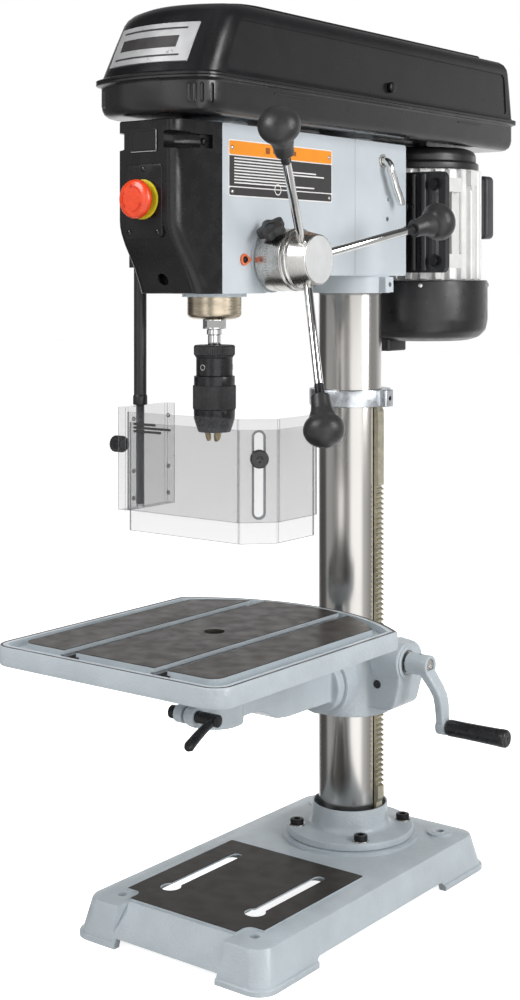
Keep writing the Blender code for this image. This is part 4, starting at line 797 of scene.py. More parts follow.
def build_arm():
    web = rounded([(-265, 250, 0), (-232, 250, 0), (-212, 247, 14), (-184, 233, 16), (-160, 230, 10),
                   (-64, 229, 0), (-64, 284, 0), (-90, 316, 10), (-265, 317, 0)])
    joins = [prism(web, -23, 23, "X"), rod((0, TILT_Z), 35, -76, -62.3, "Y", 72),
             box((-14, 14), (CLAMP_Y, SPINDLE_Y - 20), (CLAMP_Z - 10, CLAMP_Z + 10)),
             rod((CLAMP_Y, CLAMP_Z), 10, -14, 14, "X", 48)]
    arm = cast(shaped(rod((0, SPINDLE_Y), 33, 245, 318, count=96), joins), 1.5, 5)
    cuts = [box((-60, 60), (-61.9, -40), (200, 300)), rod((0, SPINDLE_Y), STEM_R + GAP, 230, 330, count=64),
            box((-2, 2), (-345, SPINDLE_Y), (230, 330)), rod((CLAMP_Y, CLAMP_Z), 4.8, -30, 30, "X", 32),
            rod((0, TILT_Z), 8.3, -90, -50, "Y", 32), box((-17, 17), (-105, -76), (230, 264))]
    piece("arm_casting", shaped(arm, cuts=cuts), CAST_GREY, "arm", "table_arm", slot="cast_grey", angle=40)
    bolt = hex_bolt((0, -76.3, TILT_Z), (0, -1, 0), 12, 9.5)
    piece("tilt_bolt_head", bolt, BLACKENED, "arm", "tilt_bolt", slot="dark_steel")
    marks = []
    for i in range(-9, 10):
        angle = math.radians(90 + i * 5)
        long = 4.5 if i % 3 == 0 else 2.6
        out = Vector((math.cos(angle), 0, math.sin(angle)))
        bar = box((-0.2, 0.2), (-long / 2, long / 2), (0, 0.35))
        centre = Vector((0, -69.2, TILT_Z)) + out * 34.9
        turn = Vector((0, 0, 1)).rotation_difference(out).to_matrix().to_4x4()
        bmesh.ops.transform(bar, matrix=Matrix.Translation(centre) @ turn, verts=bar.verts)
        marks.append(bar)
    piece("tilt_scale_marks", together(*marks), LABEL_DARK, "arm")
    bolt = [(0, -23), (7.5, -23), (7.5, -14.3), (4.5, -14.3), (4.5, 14.3), (7, 14.3), (7, 44), (0, 44)]
    path, radii = [], []
    for i in range(9):
        t = i / 8
        path.append((38 + 3 * t, CLAMP_Y - 47 * t, CLAMP_Z - 17 * t + 2 * math.sin(math.pi * t)))
        radii.append(4.2 + 1.6 * t)
    path.append((41, CLAMP_Y - 50, CLAMP_Z - 18.2))
    radii.append(3.8)
    lever = shaped(turned(soft(bolt, 0.8), 40, "X", (CLAMP_Y, CLAMP_Z)), [sweep(path, radii)])
    piece("table_lock_lever", lever, BLACKENED, "table_lever", "table_clamp_lever", slot="dark_steel")


# ---------------------------------------------------------------- head

HEAD_HALF, HEAD_FRONT, HEAD_REAR, HEAD_LOW, HEAD_TOP = 50.0, -321.0, 53.0, 749.0, 915.0
COVER_FRONT, COVER_FLAT = -393.0, 31.5
FEED_Y, FEED_Z, BAR_X, BAR_Z, BAR_R, QUILL_R, ESTOP_Z = -234.5, 766.5, 26.0, 872.0, 7.0, 30.6, 830.0


def build_head():
    side = rounded([(HEAD_FRONT, 729, 2), (-246, 729, 0), (-205, 735, 22), (-188, HEAD_LOW, 10),
                    (HEAD_REAR, HEAD_LOW, 4), (HEAD_REAR, HEAD_TOP, 4), (HEAD_FRONT, HEAD_TOP, 2)])
    joins = [rod((0, 0), 50.5, 727.5, 752, count=96), rod((0, SPINDLE_Y), 36.5, 725, 732, count=72),
             rod((FEED_Y, FEED_Z), 36.8, 46, 52.5, "X", 96), rod((0, SPINDLE_Y), 38, 912, 920.3, count=48),
             rod((0, -10), 34, 912, 920.3, count=48),
             prism(rounded([(44, -9, 0), (60, -9, 2), (60, 9, 2), (44, 9, 0)]), 728.5, 747.5)]
    head = shaped(prism(side, -HEAD_HALF, HEAD_HALF, "X"), joins)
    cuts = [rod((0, SPINDLE_Y), QUILL_R + GAP, 700, 898, count=72),
            rod((0, SPINDLE_Y), 15.6, 880, 940, count=48),
            rod((0, 0), COLUMN_R + GAP, 700, COLUMN_TOP + GAP, count=96),
            box((-40, 40), (-222, -56), (800, 940)),
            rod((FEED_Y, FEED_Z), 17.0, -14, 70, "X", 48), rod((FEED_Y, FEED_Z), 11, -70, 0, "X", 48),
            rod((-1.3, 892), 5.3, 34, 60, "X", 32), rod((0, 738), 3.2, 36, 70, "X", 24)]
    for x in (-BAR_X, BAR_X):
        cuts.append(rod((x, BAR_Z), BAR_R + GAP, -80, 70, "Y", 32))
    for s in (-1, 1):
        far = sorted((s * 49.3, s * 60))
        cuts.append(box(far, (-63.4, -62.7), (HEAD_LOW + 2, HEAD_TOP + 5)))
    cuts += [rod((10.9, 843.9), 2.1, 40, 60, "X", 24), rod((9.5, 819.8), 3.1, 40, 60, "X", 24)]
    piece("head_body", shaped(head, cuts=cuts), HEAD_GREY, "stand", "head_casting", bevel=1.0,
          slot="head_grey")
    piece("head_set_screw", cap_screw((54.5, 0, 738), (1, 0, 0), 2.9, 2.5), BLACK_BOLT, "stand")
    # Painted shade: dark discs set 4 mm into the two small holes in the head's right side stand for the shade
    # inside them.
    hole_shades = [rod((10.9, 843.9), 2.0, 44, 46, "X", 24), rod((9.5, 819.8), 3.0, 44, 46, "X", 24)]
    piece("head_hole_shades", together(*hole_shades), DARK_GAP, "stand")


def build_label():
    """The plate on the head's right side: an orange header over a dark field of plain bars."""
    x = HEAD_HALF

    def card(y, z, low, high, radius=1.5):
        return prism(plate(y, z, radius)(0), x + low, x + high, "X")

    piece("label_plate", card((-311, -113), (835.5, 898), 0.02, 0.5, 3), WHITE, "stand")
    piece("label_header", card((-309.6, -114.4), (881.5, 896.6), 0.5, 0.62, 2.4), ORANGE, "stand")
    piece("label_field", card((-309.6, -114.4), (846.8, 880.3), 0.5, 0.62, 0.8), LABEL_DARK, "stand")
    piece("label_strip", card((-309.6, -114.4), (836.9, 845.6), 0.5, 0.62, 2.4), LABEL_DARK, "stand")
    header = [card((-244, -236), (885.5, 892.5), 0.62, 0.7, 1.5),
              card((-230, -186), (886.5, 891.5), 0.62, 0.7, 1)]
    piece("label_header_bars", together(*header), SIGN_BROWN, "stand")
    shares = (0.52, 0.56, 0.60, 0.86, 0.95, 0.62, 0.60, 0.57, 0.84)
    bars = []
    for i, share in enumerate(shares):
        z = 877.6 - i * 3.35
        bars.append(card((-301, -301 + 180 * share), (z - 0.75, z + 0.75), 0.62, 0.7, 0.3))
    piece("label_bars", together(*bars), WHITE, "stand")
    ring = tube(6.4, 5.2, x + 0.62, x + 0.72, 48, "X", (-221, 846.2), 0.05)
    piece("label_ring", ring, WHITE, "stand")
    rivets = []
    for y in (-304.5, -119.5):
        for z in (889, 841):
            rivets.append(turned([(0, x), (2.4, x), (2.4, x + 0.8), (1.9, x + 1.6), (1, x + 2),
                                  (0, x + 2.1)], 32, "X", (y, z)))
    piece("label_rivets", together(*rivets), STEEL, "stand")


def chin_level(front, z):
    """The front cover seen from above at one height: tapering sides and elliptical front corners."""
    rear = HEAD_FRONT - GAP
    deep = min(21.0, (rear - front) * 0.55)
    taper = 7.5 * (rear - front) / (HEAD_FRONT - COVER_FRONT)
    wide = HEAD_HALF - taper - COVER_FLAT
    right = [(COVER_FLAT + wide * u, front + deep * (1 - v)) for u, v in arc((0, 0), 1, 90, 0, 12)]
    right.append((HEAD_HALF, rear))
    return [(-x, y, z) for x, y in reversed(right)] + [(x, y, z) for x, y in right]


def build_front_cover():
    levels = [(729, -352.5), (729.8, -354.3), (740, -359), (756, -367), (770, -376), (782, -384), (794, -390),
              (801, -392.2), (808, COVER_FRONT), (HEAD_TOP - 1.2, COVER_FRONT), (HEAD_TOP, COVER_FRONT + 1.2)]
    cover = loft([chin_level(y, z) for z, y in levels])
    inner = [(732, -351, 27), (756, -364, 27), (782, -381, 27), (808, COVER_FRONT + 3, 27),
             (874, COVER_FRONT + 3, 27),
             (879, -364, 19), (HEAD_TOP - 3, -364, 19)]
    hollow = []
    for z, y, wide in inner:
        half = [(wide, y, z), (wide * 1.33, y + 14, z), (wide * 1.33, -315, z)]
        hollow.append([(-x, v, z) for x, v, z in reversed(half)] + half)
    cuts = [loft(hollow), rod((0, ESTOP_Z), 12, -420, -380, "Y", 48)]
    for s in (-1, 1):
        path = [(s * 31, -396, 893), (s * 36, -391, 893), (s * 41, -382, 893), (s * 44.5, -371, 893),
                (s * 47.5, -359, 893), (s * 49.5, -348, 893), (s * 50.5, -341, 893)]
        cuts.append(sweep(path, [9.5, 9.5, 9.2, 8.8, 8.2, 7.6, 7], 40))
        cuts.append(box(sorted((s * 43, s * 60)), (-352, -335), (885.5, 900.5)))
    cuts.append(sweep([(0, -380, 742), (0, -364, 744), (0, -350, 746)], [9, 7, 6], 32))
    piece("front_cover_shell", shaped(cover, cuts=cuts), COVER_PLASTIC, "stand", "front_cover",
          slot="black_plastic",
          bevel=0.7)
    screws = [pan_screw((s * 43, -343.5, 893), (s, 0, 0), 4.2) for s in (-1, 1)]
    piece("cover_side_screws", together(*screws), BLACK_BOLT, "stand")
    frame_plate = shaped(prism(plate((-19, 19), (880.5, 905.5), 3)(0), COVER_FRONT - 1.2, COVER_FRONT + 1,
                               "Y"),
                         cuts=[prism(plate((-16, 16), (883, 903), 1.2)(0), COVER_FRONT - 3, COVER_FRONT + 3,
                                     "Y")])
    piece("display_frame", frame_plate, GLOSS_BLACK, "stand", bevel=0.25)
    # Painted highlight: thin silver strips along only the display frame's right and bottom outer edges stand
    # for light caught on those edges.
    frame_glints = [box((18.4, 19.0), (COVER_FRONT - 1.5, COVER_FRONT - 1), (882, 903.5)),
             box((-17, 19.0), (COVER_FRONT - 1.5, COVER_FRONT - 1), (880.7, 881.3))]
    piece("display_frame_glints", together(*frame_glints), SILVER_PLATE, "stand")
    glass = prism(plate((-16, 16), (883, 903), 1.2)(0), COVER_FRONT - 0.7, COVER_FRONT + 0.5, "Y")
    piece("display_glass", glass, GLOSS_BLACK, "stand", bevel=0.2)
    panel = pillow(plate((-26.5, 26.5), (789, 868), 5), -394, -388, 0.9, "Y")
    panel = shaped(panel, cuts=[rod((0, ESTOP_Z), 17, -400, -380, "Y", 64)])
    piece("switch_panel", panel, COVER_PLASTIC, "stand")
    feet = [(0, 862), (-20, 795), (20, 795)]
    screws = [pan_screw((x, -394, z), (0, -1, 0), 3) for x, z in feet]
    piece("switch_panel_screws", together(*screws), GLOSS_BLACK, "stand")
    ring = [(12.2, -362), (16.8, -362), (16.8, -393.6), (21.4, -393.6), (21.4, -396.2), (12.2, -396.2),
            (12.2, -362)]
    piece("estop_ring", turned(soft(ring, 0.8)[:-1], 72, "Y", (0, ESTOP_Z), True), YELLOW, "stand",
          "estop_collar",
          slot="yellow_plastic")
    neck = [(0, -368), (10.2, -368), (10.2, -404), (0, -404)]
    piece("estop_neck", turned(soft(neck, 0.5), 56, "Y", (0, ESTOP_Z)), GLOSS_BLACK, "stop_button")
    cap = [(0, -402.5), (19.5, -402.5), (21, -403.6), (21, -407.0), (19.6, -410.2), (15, -412.1),
           (8, -412.6), (0, -412.6)]
    piece("estop_cap", turned(soft(cap, 1.2), 96, "Y", (0, ESTOP_Z)), RED, "stop_button", "estop_button",
          slot="red_plastic")
    arrows = []
    for k in range(3):
        start = 30 + 120 * k
        outer = arc((0, ESTOP_Z), 14.0, start, start + 62, 10)
        inner_arc = arc((0, ESTOP_Z), 12.6, start, start + 62, 10)[::-1]
        arrows.append(prism(outer + inner_arc, -412.75, -411.6, "Y"))
        tip = arc((0, ESTOP_Z), 13.3, start + 74, start + 74, 1)[0]
        arrows.append(prism([arc((0, ESTOP_Z), 16, start + 61, start + 61, 1)[0],
                             arc((0, ESTOP_Z), 10.6, start + 61, start + 61, 1)[0], tip], -412.75, -411.6,
                             "Y"))
    piece("estop_arrows", together(*arrows), RED_MARK, "stop_button")


# ---------------------------------------------------------------- quill, spindle and chuck

CORE_R, JAW_R, JAW_TIP_Z, JAW_TIP_RADIUS, JAW_TILT = 17.0, 3.2, 562.0, 5.9, math.radians(10)


def build_quill():
    axis = (0, SPINDLE_Y)
    body = [(0, 700), (24, 700), (QUILL_R - 2, 702), (QUILL_R, 705), (QUILL_R, 884), (QUILL_R - 1, 885),
            (0, 885)]
    quill = shaped(turned(soft(body, 1.0), 112, "Z", axis), cuts=[rod(axis, 10.4, 690, 900, count=48)])
    piece("quill_barrel", quill, BEARING, "quill_slide", "quill", slot="bright_steel")
    ring = [(QUILL_R + GAP, 725.0), (36, 725.0), (36, 728), (QUILL_R + GAP, 728), (QUILL_R + GAP, 725.0)]
    piece("quill_wiper_ring", turned(soft(ring, 0.6)[:-1], 96, "Z", axis, True), BLACKENED, "stand")
    nose = [(10.2, 699.7), (13.5, 699.7), (13.5, 689), (8.8, 688), (8.8, 682.5), (7.4, 682), (7.4, 652),
            (0, 652)]
    spindle = [(0, 894), (9, 894), (9, 889.5), (10, 889.5), (10, 699.9)] + nose
    top = [[(r * math.cos(math.tau * (i + 0.5) / 24), SPINDLE_Y + r * math.sin(math.tau * (i + 0.5) / 24), z)
            for i in range(24) for r in (9.2 if i % 4 in (0, 1) else 7.6,)] for z in (890, 1012)]
    shaft = shaped(turned(soft(spindle, 0.5), 72, "Z", axis), [loft(top)])
    flats = []
    for k in range(6):
        side = box((11.4, 20), (-12, 12), (690.5, 698.5))
        turn = Matrix.Translation((0, SPINDLE_Y, 0)) @ Matrix.Rotation(math.tau * k / 6, 4, "Z")
        bmesh.ops.transform(side, matrix=turn, verts=side.verts)
        flats.append(side)
    piece("spindle_nose", shaped(shaft, cuts=flats), CHROME, "spindle_turn", "spindle", slot="bright_steel")


def build_chuck():
    axis = (0, SPINDLE_Y)
    body = [(0, 573.5), (CORE_R - 1, 573.5), (CORE_R, 575), (CORE_R, 636.3), (20.7, 636.3), (20.7, 656),
            (22, 658),
            (22, 659), (12, 659), (11, 670), (0, 670)]
    chuck = turned(soft(body, 0.6), 96, "Z", axis)
    cap = shaped(ribbed(23.3, 0.7, 72, 658.6, 670.6, "Z", axis, 1.4),
                 cuts=[rod(axis, 11.6, 650, 680, count=64)])
    piece("chuck_cap_grip", cap, KNURL, "spindle_turn")
    chuck = shaped(chuck, cuts=[rod(axis, 7.7, 651, 680, count=48)])
    jaws = []
    for i in range(3):
        angle = math.radians(90 + 120 * i)
        outward = Vector((math.cos(angle), math.sin(angle), 0))
        along = (outward * math.sin(JAW_TILT) + Vector((0, 0, math.cos(JAW_TILT)))).normalized()
        tip = Vector((0, SPINDLE_Y, JAW_TIP_Z)) + outward * JAW_TIP_RADIUS
        hole = turned([(0, 5), (JAW_R + 2 * GAP, 5), (JAW_R + 2 * GAP, 44), (0, 44)], 32)
        jaws.append(aim(hole, tip, along))
        jaw = turned(soft([(0, 0.5), (JAW_R - 1.3, 0.5), (JAW_R, 5), (JAW_R, 35), (0, 35)], 0.5), 36)
        piece(f"jaw_{i + 1}_pin", aim(jaw, tip, along), BRASS, f"jaw_{i + 1}", f"chuck_jaw_{i + 1}",
              slot="bright_steel")
    piece("chuck_core", shaped(chuck, cuts=jaws), BLACKENED, "spindle_turn", "chuck_body", slot="dark_steel")
    profile = [(CORE_R + GAP, 573), (18.3, 573), (20.9, 580.5), (23.2, 588.5), (23.5, 598.5),
               (CORE_R + GAP, 598.5)]
    piece("chuck_nose", turned(soft(profile + profile[:1], 0.7)[:-1], 112, "Z", axis, True), BLACKENED,
          "sleeve",
          "chuck_sleeve", slot="dark_steel")
    grip = shaped(ribbed(24.35, 0.45, 96, 598.4, 625.6, "Z", axis, 0.9),
                  cuts=[rod(axis, CORE_R + GAP, 590, 630)])
    piece("chuck_sleeve_grip", grip, KNURL, "sleeve")
    collar = [(CORE_R + GAP, 625.5), (23.2, 625.5), (23.2, 636), (CORE_R + GAP, 636)]
    piece("chuck_sleeve_collar", turned(soft(collar + collar[:1], 0.6)[:-1], 112, "Z", axis, True),
          BLACKENED, "sleeve")
    holes = []
    for k in range(3):
        angle = math.radians(30 + 120 * k)
        out = Vector((math.cos(angle), math.sin(angle), 0))
        holes.append(aim(tube(3.4, 2.5, 0, 0.35, 32, edge=0.1), Vector((0, SPINDLE_Y, 646)) + out * 20.6,
                         out))
    piece("chuck_key_rings", together(*holes), STEEL, "spindle_turn")


# ---------------------------------------------------------------- feed handles

ROD_X, ROD_SPLAY, ROD_FIRST, ROD_R, KNOB_AT = 98.0, math.radians(18.2), math.radians(134.1), 4.9, 198.4


def knob_profile():
    """A pear-shaped knob with its rod's hole at the small end."""
    start = KNOB_AT - 39
    points = [(ROD_R + GAP, start), (9.4, start), (10.1, start + 0.8), (10.5, start + 5), (11.0, start + 11),
              (11.8, start + 16), (13.2, start + 20)]
    for i in range(17):
        angle = math.radians(-48 + 138 * i / 16)
        points.append((22.5 * math.cos(angle), KNOB_AT + 19 * math.sin(angle)))
    points[-1] = (0, KNOB_AT + 19)
    return points + [(0, 176), (ROD_R + GAP, 176)]


def build_feed():
    centre = (FEED_Y, FEED_Z)
    ring = [(16.5, 52.9), (33.6, 52.9), (35, 54.4), (35, 87), (33.2, 90), (16.5, 90)]
    away = Vector((0, math.cos(math.radians(129.8)), math.sin(math.radians(129.8))))
    foot = Vector((73, FEED_Y, FEED_Z))
    hole = aim(rod((0, 0), 3.3, 20, 60, count=32), foot, away)
    depth = shaped(turned(soft(ring + ring[:1], 0.5)[:-1], 144, "X", centre, True), cuts=[hole])
    piece("depth_scale_ring", depth, TURNED, "depth_stop", "depth_ring", slot="bright_steel")
    marks = []
    for i in range(60):
        angle = math.radians(150 + i * 5)
        length = 7.0 if i % 5 == 0 else 4.0
        out = Vector((0, math.cos(angle), math.sin(angle)))
        bar = box((-length, 0), (-0.17, 0.17), (0, 0.12))
        at = Matrix.Translation(Vector((71, FEED_Y,
                                        FEED_Z)) + out * 34.98) @ Matrix.Rotation(angle - math.pi / 2, 4, "X")
        bmesh.ops.transform(bar, matrix=at, verts=bar.verts)
        marks.append(bar)
    piece("depth_scale_marks", together(*marks), LABEL_DARK, "depth_stop")
    stem = turned(soft([(0, 28), (3, 28), (3, 37), (7, 37), (7, 40), (0, 40)], 0.4), 40)
    lobes = []
    for inset, z in ((1.2, 39), (0.35, 39.5), (0, 40.5), (0, 47), (0.5, 48.4), (1.6, 49)):
        section = []
        for i in range(120):
            angle = math.tau * i / 120
            radius = 15 - inset + 2.2 * math.cos(5 * angle)
            section.append((radius * math.cos(angle), radius * math.sin(angle), z))
        lobes.append(section)
    star = shaped(loft(lobes), [stem], [turned([(0, 48.3), (5.5, 48.3), (6, 55), (0, 55)], 40)])
    piece("depth_lock_star", aim(star, foot, away), KNOB_BLACK, "depth_lock", "depth_lock_knob",
          slot="black_plastic")

    profile = [(11, 90.4), (33.5, 90.4), (34.5, 91.4), (34.5, 94), (33.5, 95), (32.6, 96.4), (28, 117),
               (27.2, 117.6),
               (0, 117.6), (0, 107), (11, 107)]
    middle = Vector((ROD_X, FEED_Y, FEED_Z))
    holes = []
    for i in range(3):
        angle = ROD_FIRST + i * math.tau / 3
        outward = Vector((0, math.cos(angle), math.sin(angle)))
        along = outward * math.cos(ROD_SPLAY) + Vector((math.sin(ROD_SPLAY), 0, 0))
        holes.append(aim(rod((0, 0), ROD_R + GAP, 19, 60, count=40), middle, along))
        bar = turned(soft([(0, 19.5), (ROD_R, 19.5), (ROD_R, 174), (0, 174)], 0.8), 48)
        piece(f"feed_bar_{i + 1}", aim(bar, middle, along), CHROME, "feed", f"feed_rod_{i + 1}",
              slot="chrome")
        knob = turned(soft(knob_profile(), 0.6), 80, closed=True)
        piece(f"feed_handle_{i + 1}", aim(knob, middle, along), KNOB_BLACK, "feed", f"feed_knob_{i + 1}",
              slot="black_plastic")
        thread = []
        for k in range(9):
            z = 147.5 + k * 1.3
            thread += [(4.98, z), (5.35, z + 0.45), (5.35, z + 0.75), (4.98, z + 1.2)]
        collar = [(4.95, 147)] + thread + [(4.95, 159.3)]
        piece(f"feed_bar_thread_{i + 1}", aim(turned(collar, 48, closed=True), middle, along), BLACKENED,
              "feed")
    hub = shaped(turned(soft(profile[:-2], 0.5) + profile[-2:], 144, "X", centre, True), cuts=holes)
    piece("feed_hub_cone", hub, TURNED, "feed", "feed_hub", slot="bright_steel")
    face = turned(soft([(0, 117.5), (26.4, 117.5), (26.4, 117.9), (0, 117.9)], 0.1), 96, "X", centre)
    piece("feed_hub_face", face, HUB_FACE, "feed")

    tab = arc((-283.5, FEED_Z), 6.5, 58, 302, 28) + [(-270.8, FEED_Z)]
    piece("depth_pointer", prism(tab, 50.05, 52.4, "X"), POINTER, "stand", bevel=0.4)
    piece("depth_pointer_screw", pan_screw((52.3, -283.5, FEED_Z), (1, 0, 0), 3.9), BLACK_BOLT, "stand")

    bend = [(51 + x, -1.3, 881 + z) for x, z in arc((0, 0), 11, 90, 0, 12)]
    tail = [(62.3, 1.2, 876), (62.5, 4.6, 870), (62.5, 9, 860), (62.5, 16, 850), (62.5, 22.6, 839.5),
            (62.5, 23.5, 838)]
    path = [(35, -1.3, 892)] + bend + tail
    radii = [4.9] * (len(path) - 1) + [3.8]
    piece("belt_tension_lever", sweep(path, radii, 40), CHROME, "tension", "tension_lever", slot="chrome")
    piece("tension_bush", tube(8.5, 5.4, 49.9, 51.6, 56, "X", (-1.3, 892), 0.5), STEEL, "stand")
    cup = [(11, -50.3), (30, -50.3), (31, -51.3), (31, -72), (29, -74.5), (0, -74.5), (0, -60), (11, -60)]
    piece("spring_housing", turned(soft(cup, 0.8), 96, "X", (FEED_Y, FEED_Z), True), BLACKENED, "stand",
          "spring_cup",
          slot="dark_steel")


# ---------------------------------------------------------------- motor

MOTOR_Y, MOTOR_R, MOTOR_LOW, MOTOR_HIGH = 168.0, 82.7, 743.5, 889.0
PLATE_Y, PLATE_HALF, PLATE_LOW, PLATE_HIGH = 72.0, 97.0, 753.0, 882.0


def build_motor():
    outline = rounded([(-PLATE_HALF, PLATE_LOW, 9), (PLATE_HALF, PLATE_LOW, 9), (PLATE_HALF, PLATE_HIGH, 9),
                       (-PLATE_HALF, PLATE_HIGH, 9)])
    joins, cuts = [], []
    for side in (-1, 1):
        joins.append(rod((side * BAR_X, BAR_Z), BAR_R, -70, PLATE_Y + 4, "Y", 48))
        for x in (51, 66):
            rib = rounded([(side * x - 4.5, PLATE_Y - 6, 4.4), (side * x + 4.5, PLATE_Y - 6, 4.4),
                           (side * x + 4.5, PLATE_Y + 3, 0), (side * x - 4.5, PLATE_Y + 3, 0)], 8)
            joins.append(prism(rib, PLATE_LOW + 3, PLATE_HIGH - 3))
        slot = rounded([(side * 82 - 5, 762, 4.9), (side * 82 + 5, 762, 4.9), (side * 82 + 5, 872, 4.9),
                        (side * 82 - 5, 872, 4.9)])
        cuts.append(prism(slot, PLATE_Y - 20, PLATE_Y + 30, "Y"))
    piece("motor_mount_plate", shaped(prism(outline, PLATE_Y, PLATE_Y + 10, "Y"), joins, cuts), MOTOR_BLACK,
          "motor",
          "motor_plate", bevel=1.0, slot="black_paint")
    bolts = []
    for side in (-1, 1):
        for z in (768, 866):
            bolts.append(hex_bolt((side * 82, PLATE_Y - 1.4, z), (0, -1, 0), 6.3, 5.2))
            bolts.append(washer((side * 82, PLATE_Y, z), (0, -1, 0), 8.2, 3, 1.4))
    piece("motor_mount_bolts", together(*bolts), BLACK_BOLT, "motor")

    count, sections = 26, []
    for inset, z in ((1.6, MOTOR_LOW), (0, MOTOR_LOW + 1.6), (0, MOTOR_HIGH - 1.6), (1.6, MOTOR_HIGH)):
        section = []
        for i in range(count):
            middle = math.tau * i / count
            for radius, half in ((75.5, 0.088), (78, 0.074), (MOTOR_R - 1.2, 0.062),
                                 (MOTOR_R - inset, 0.045)):
                section.append(((radius - inset * 0.2) * math.cos(middle - half),
                                MOTOR_Y + (radius - inset * 0.2) * math.sin(middle - half), z))
            for radius, half in ((MOTOR_R - inset, 0.045), (MOTOR_R - 1.2, 0.062), (78, 0.074),
                                 (75.5, 0.088)):
                section.append(((radius - inset * 0.2) * math.cos(middle + half),
                                MOTOR_Y + (radius - inset * 0.2) * math.sin(middle + half), z))
        sections.append(section)
    joins = []
    for side in (-1, 1):
        joins += [box(sorted((side * 73, side * 91)), (PLATE_Y + 10 + GAP, MOTOR_Y - 45), (z - 9, z + 9))
                  for z in (768, 866)]
        joins.append(box(sorted((55 * side, 85 * side)), (MOTOR_Y - 60, MOTOR_Y - 42), (760, 874)))
    piece("motor_fin_body", shaped(loft(sections), joins), ALUMINIUM, "motor", "motor_body",
          slot="aluminium", angle=25)
    lug = shaped(prism(plate((MOTOR_Y - 9, MOTOR_Y + 9), (868, 887), 2)(0), MOTOR_R - 5, MOTOR_R + 1.6, "X"),
                 [prism(plate((MOTOR_Y - 5, MOTOR_Y + 5), (861, 887), 2)(0), MOTOR_R - 5, MOTOR_R + 0.4,
                        "X")])
    piece("motor_side_lug", lug, ALUMINIUM, "motor", bevel=0.5)

    bell = [(10.3, MOTOR_HIGH + GAP), (79, MOTOR_HIGH + GAP), (79, 898.5), (75.5, 900), (75.5, 909),
            (72, 915.5),
            (64, 918.5), (10.3, 918.5)]
    piece("motor_top_bell", turned(soft(bell + bell[:1], 2.2)[:-1], 144, "Z", (0, MOTOR_Y), True),
          MOTOR_BLACK, "motor",
          "motor_end_bell", slot="black_paint")
    fan = [(0, 663), (64, 663), (79, 667.5), (88, 676.5), (91, 690), (91, MOTOR_LOW - GAP),
           (0, MOTOR_LOW - GAP)]
    joins = [pillow(plate((-60, -4), (MOTOR_Y - 70, MOTOR_Y - 25), 6), 649.5, 670, 2.5)]
    cuts = []
    for ring, number in ((28, 10), (42, 16), (56, 22)):
        for x, y in circle((0, MOTOR_Y), ring, number):
            if not (-66 < x < 2 and MOTOR_Y - 76 < y < MOTOR_Y - 20):
                cuts.append(rod((x, y), 3.4, 655, 669, count=16))
    cover = turned(soft(fan, 3.0), 144, "Z", (0, MOTOR_Y))
    cover = shaped(shaped(cover, joins), cuts=[together(*cuts)])
    piece("motor_fan_hood", cover, MOTOR_BLACK, "motor", "motor_fan_cover", slot="black_plastic")
    screws = []
    for degrees in (-58, 32, 122, 212):
        angle = math.radians(degrees)
        out = Vector((math.cos(angle), math.sin(angle), 0))
        screws.append(pan_screw(Vector((0, MOTOR_Y, 736.5)) + out * 90.8, out, 3.2))
    piece("fan_hood_screws", together(*screws), STEEL, "motor")

    case = pillow(plate((-48, 48), (803, 884), 5), MOTOR_Y + MOTOR_R + GAP, 262, 0.5, "Y")
    lid = pillow(plate((-52, 52), (800, 887), 7), 260, 280, 3.5, "Y", 5)
    piece("terminal_box", shaped(case, [lid]), BOX_GREY, "motor", "junction_box", slot="aluminium")
    spots = [(x, z) for x in (-44, 44) for z in (808, 879)]
    screws = [pan_screw((x, 279.6, z), (0, 1, 0), 3) for x, z in spots]
    piece("terminal_box_screws", together(*screws), STEEL, "motor")
    wing = []
    for side in (-1, 1):
        blade = pillow(plate((-13, 13), (-3, 3), 2.8), -2.2, 2.2, 0.8, "Y")
        bmesh.ops.translate(blade, vec=(side * 41, 66, 838), verts=blade.verts)
        wing.append(blade)
        wing.append(turned(soft([(0, 63.2), (5, 63.2), (6.5, 67), (6.5, 70), (0, 70)], 0.6), 36, "Y",
                           (side * 41, 838)))
    piece("motor_lock_wings", together(*wing), GLOSS_BLACK, "motor")


# ---------------------------------------------------------------- belt cover

COVER_HALF, COVER_NOSE, COVER_BACK, COVER_LOW, COVER_JOIN = 81.0, -405.0, 285.0, 920.6, 959.2
LID_TOP, COVER_SKIN, REAR_CORNER = 1047.0, 2.5, 12.0
NOSE_BOW, NOSE_SHARE, NOSE_RISE = 30.0, 0.82, 0.62
LID_LEVELS = [(0, 963.7, 2), (2, 1002, 19), (4, 1031, 33), (6.5, 1039, 39), (12, 1043.5, 45)]


def cover_outline(half, nose, back):
    """The belt cover seen from above: a bowed nose, straight sides and a flat rounded back."""
    reach = half * NOSE_SHARE
    shoulder = nose + NOSE_BOW
    front = []
    for i in range(25):
        x = reach * (-1 + i / 12)
        front.append((x, nose + NOSE_BOW * NOSE_RISE * (x / reach) ** 2))
    a, c = Vector(front[-1]), Vector((half, shoulder + 24))
    b = Vector((half * 0.985, shoulder - NOSE_BOW * 0.12))
    corner = []
    for i in range(1, 9):
        t = i / 8
        corner.append(tuple(a * (1 - t) ** 2 + b * 2 * t * (1 - t) + c * t * t))
    r = REAR_CORNER
    rear = arc((half - r, back - r), r, 0, 90, 12) + arc((-half + r, back - r), r, 90, 180, 12)
    return front + corner + rear + [(-x, y) for x, y in reversed(corner)]


def cover_level(inset, z, slope=0.0):
    return [(x, y, z) for x, y in
            cover_outline(COVER_HALF - inset, COVER_NOSE + inset + slope, COVER_BACK - inset)]


def lid_nose(x, z):
    """The y of the lid's sloping front at x and z."""
    for (i0, z0, s0), (i1, z1, s1) in zip(LID_LEVELS, LID_LEVELS[1:]):
        if z <= z1:
            break
    t = (z - z0) / (z1 - z0)
    inset, slope = i0 + (i1 - i0) * t, s0 + (s1 - s0) * t
    reach = (COVER_HALF - inset) * NOSE_SHARE
    return COVER_NOSE + inset + slope + NOSE_BOW * NOSE_RISE * (x / reach) ** 2


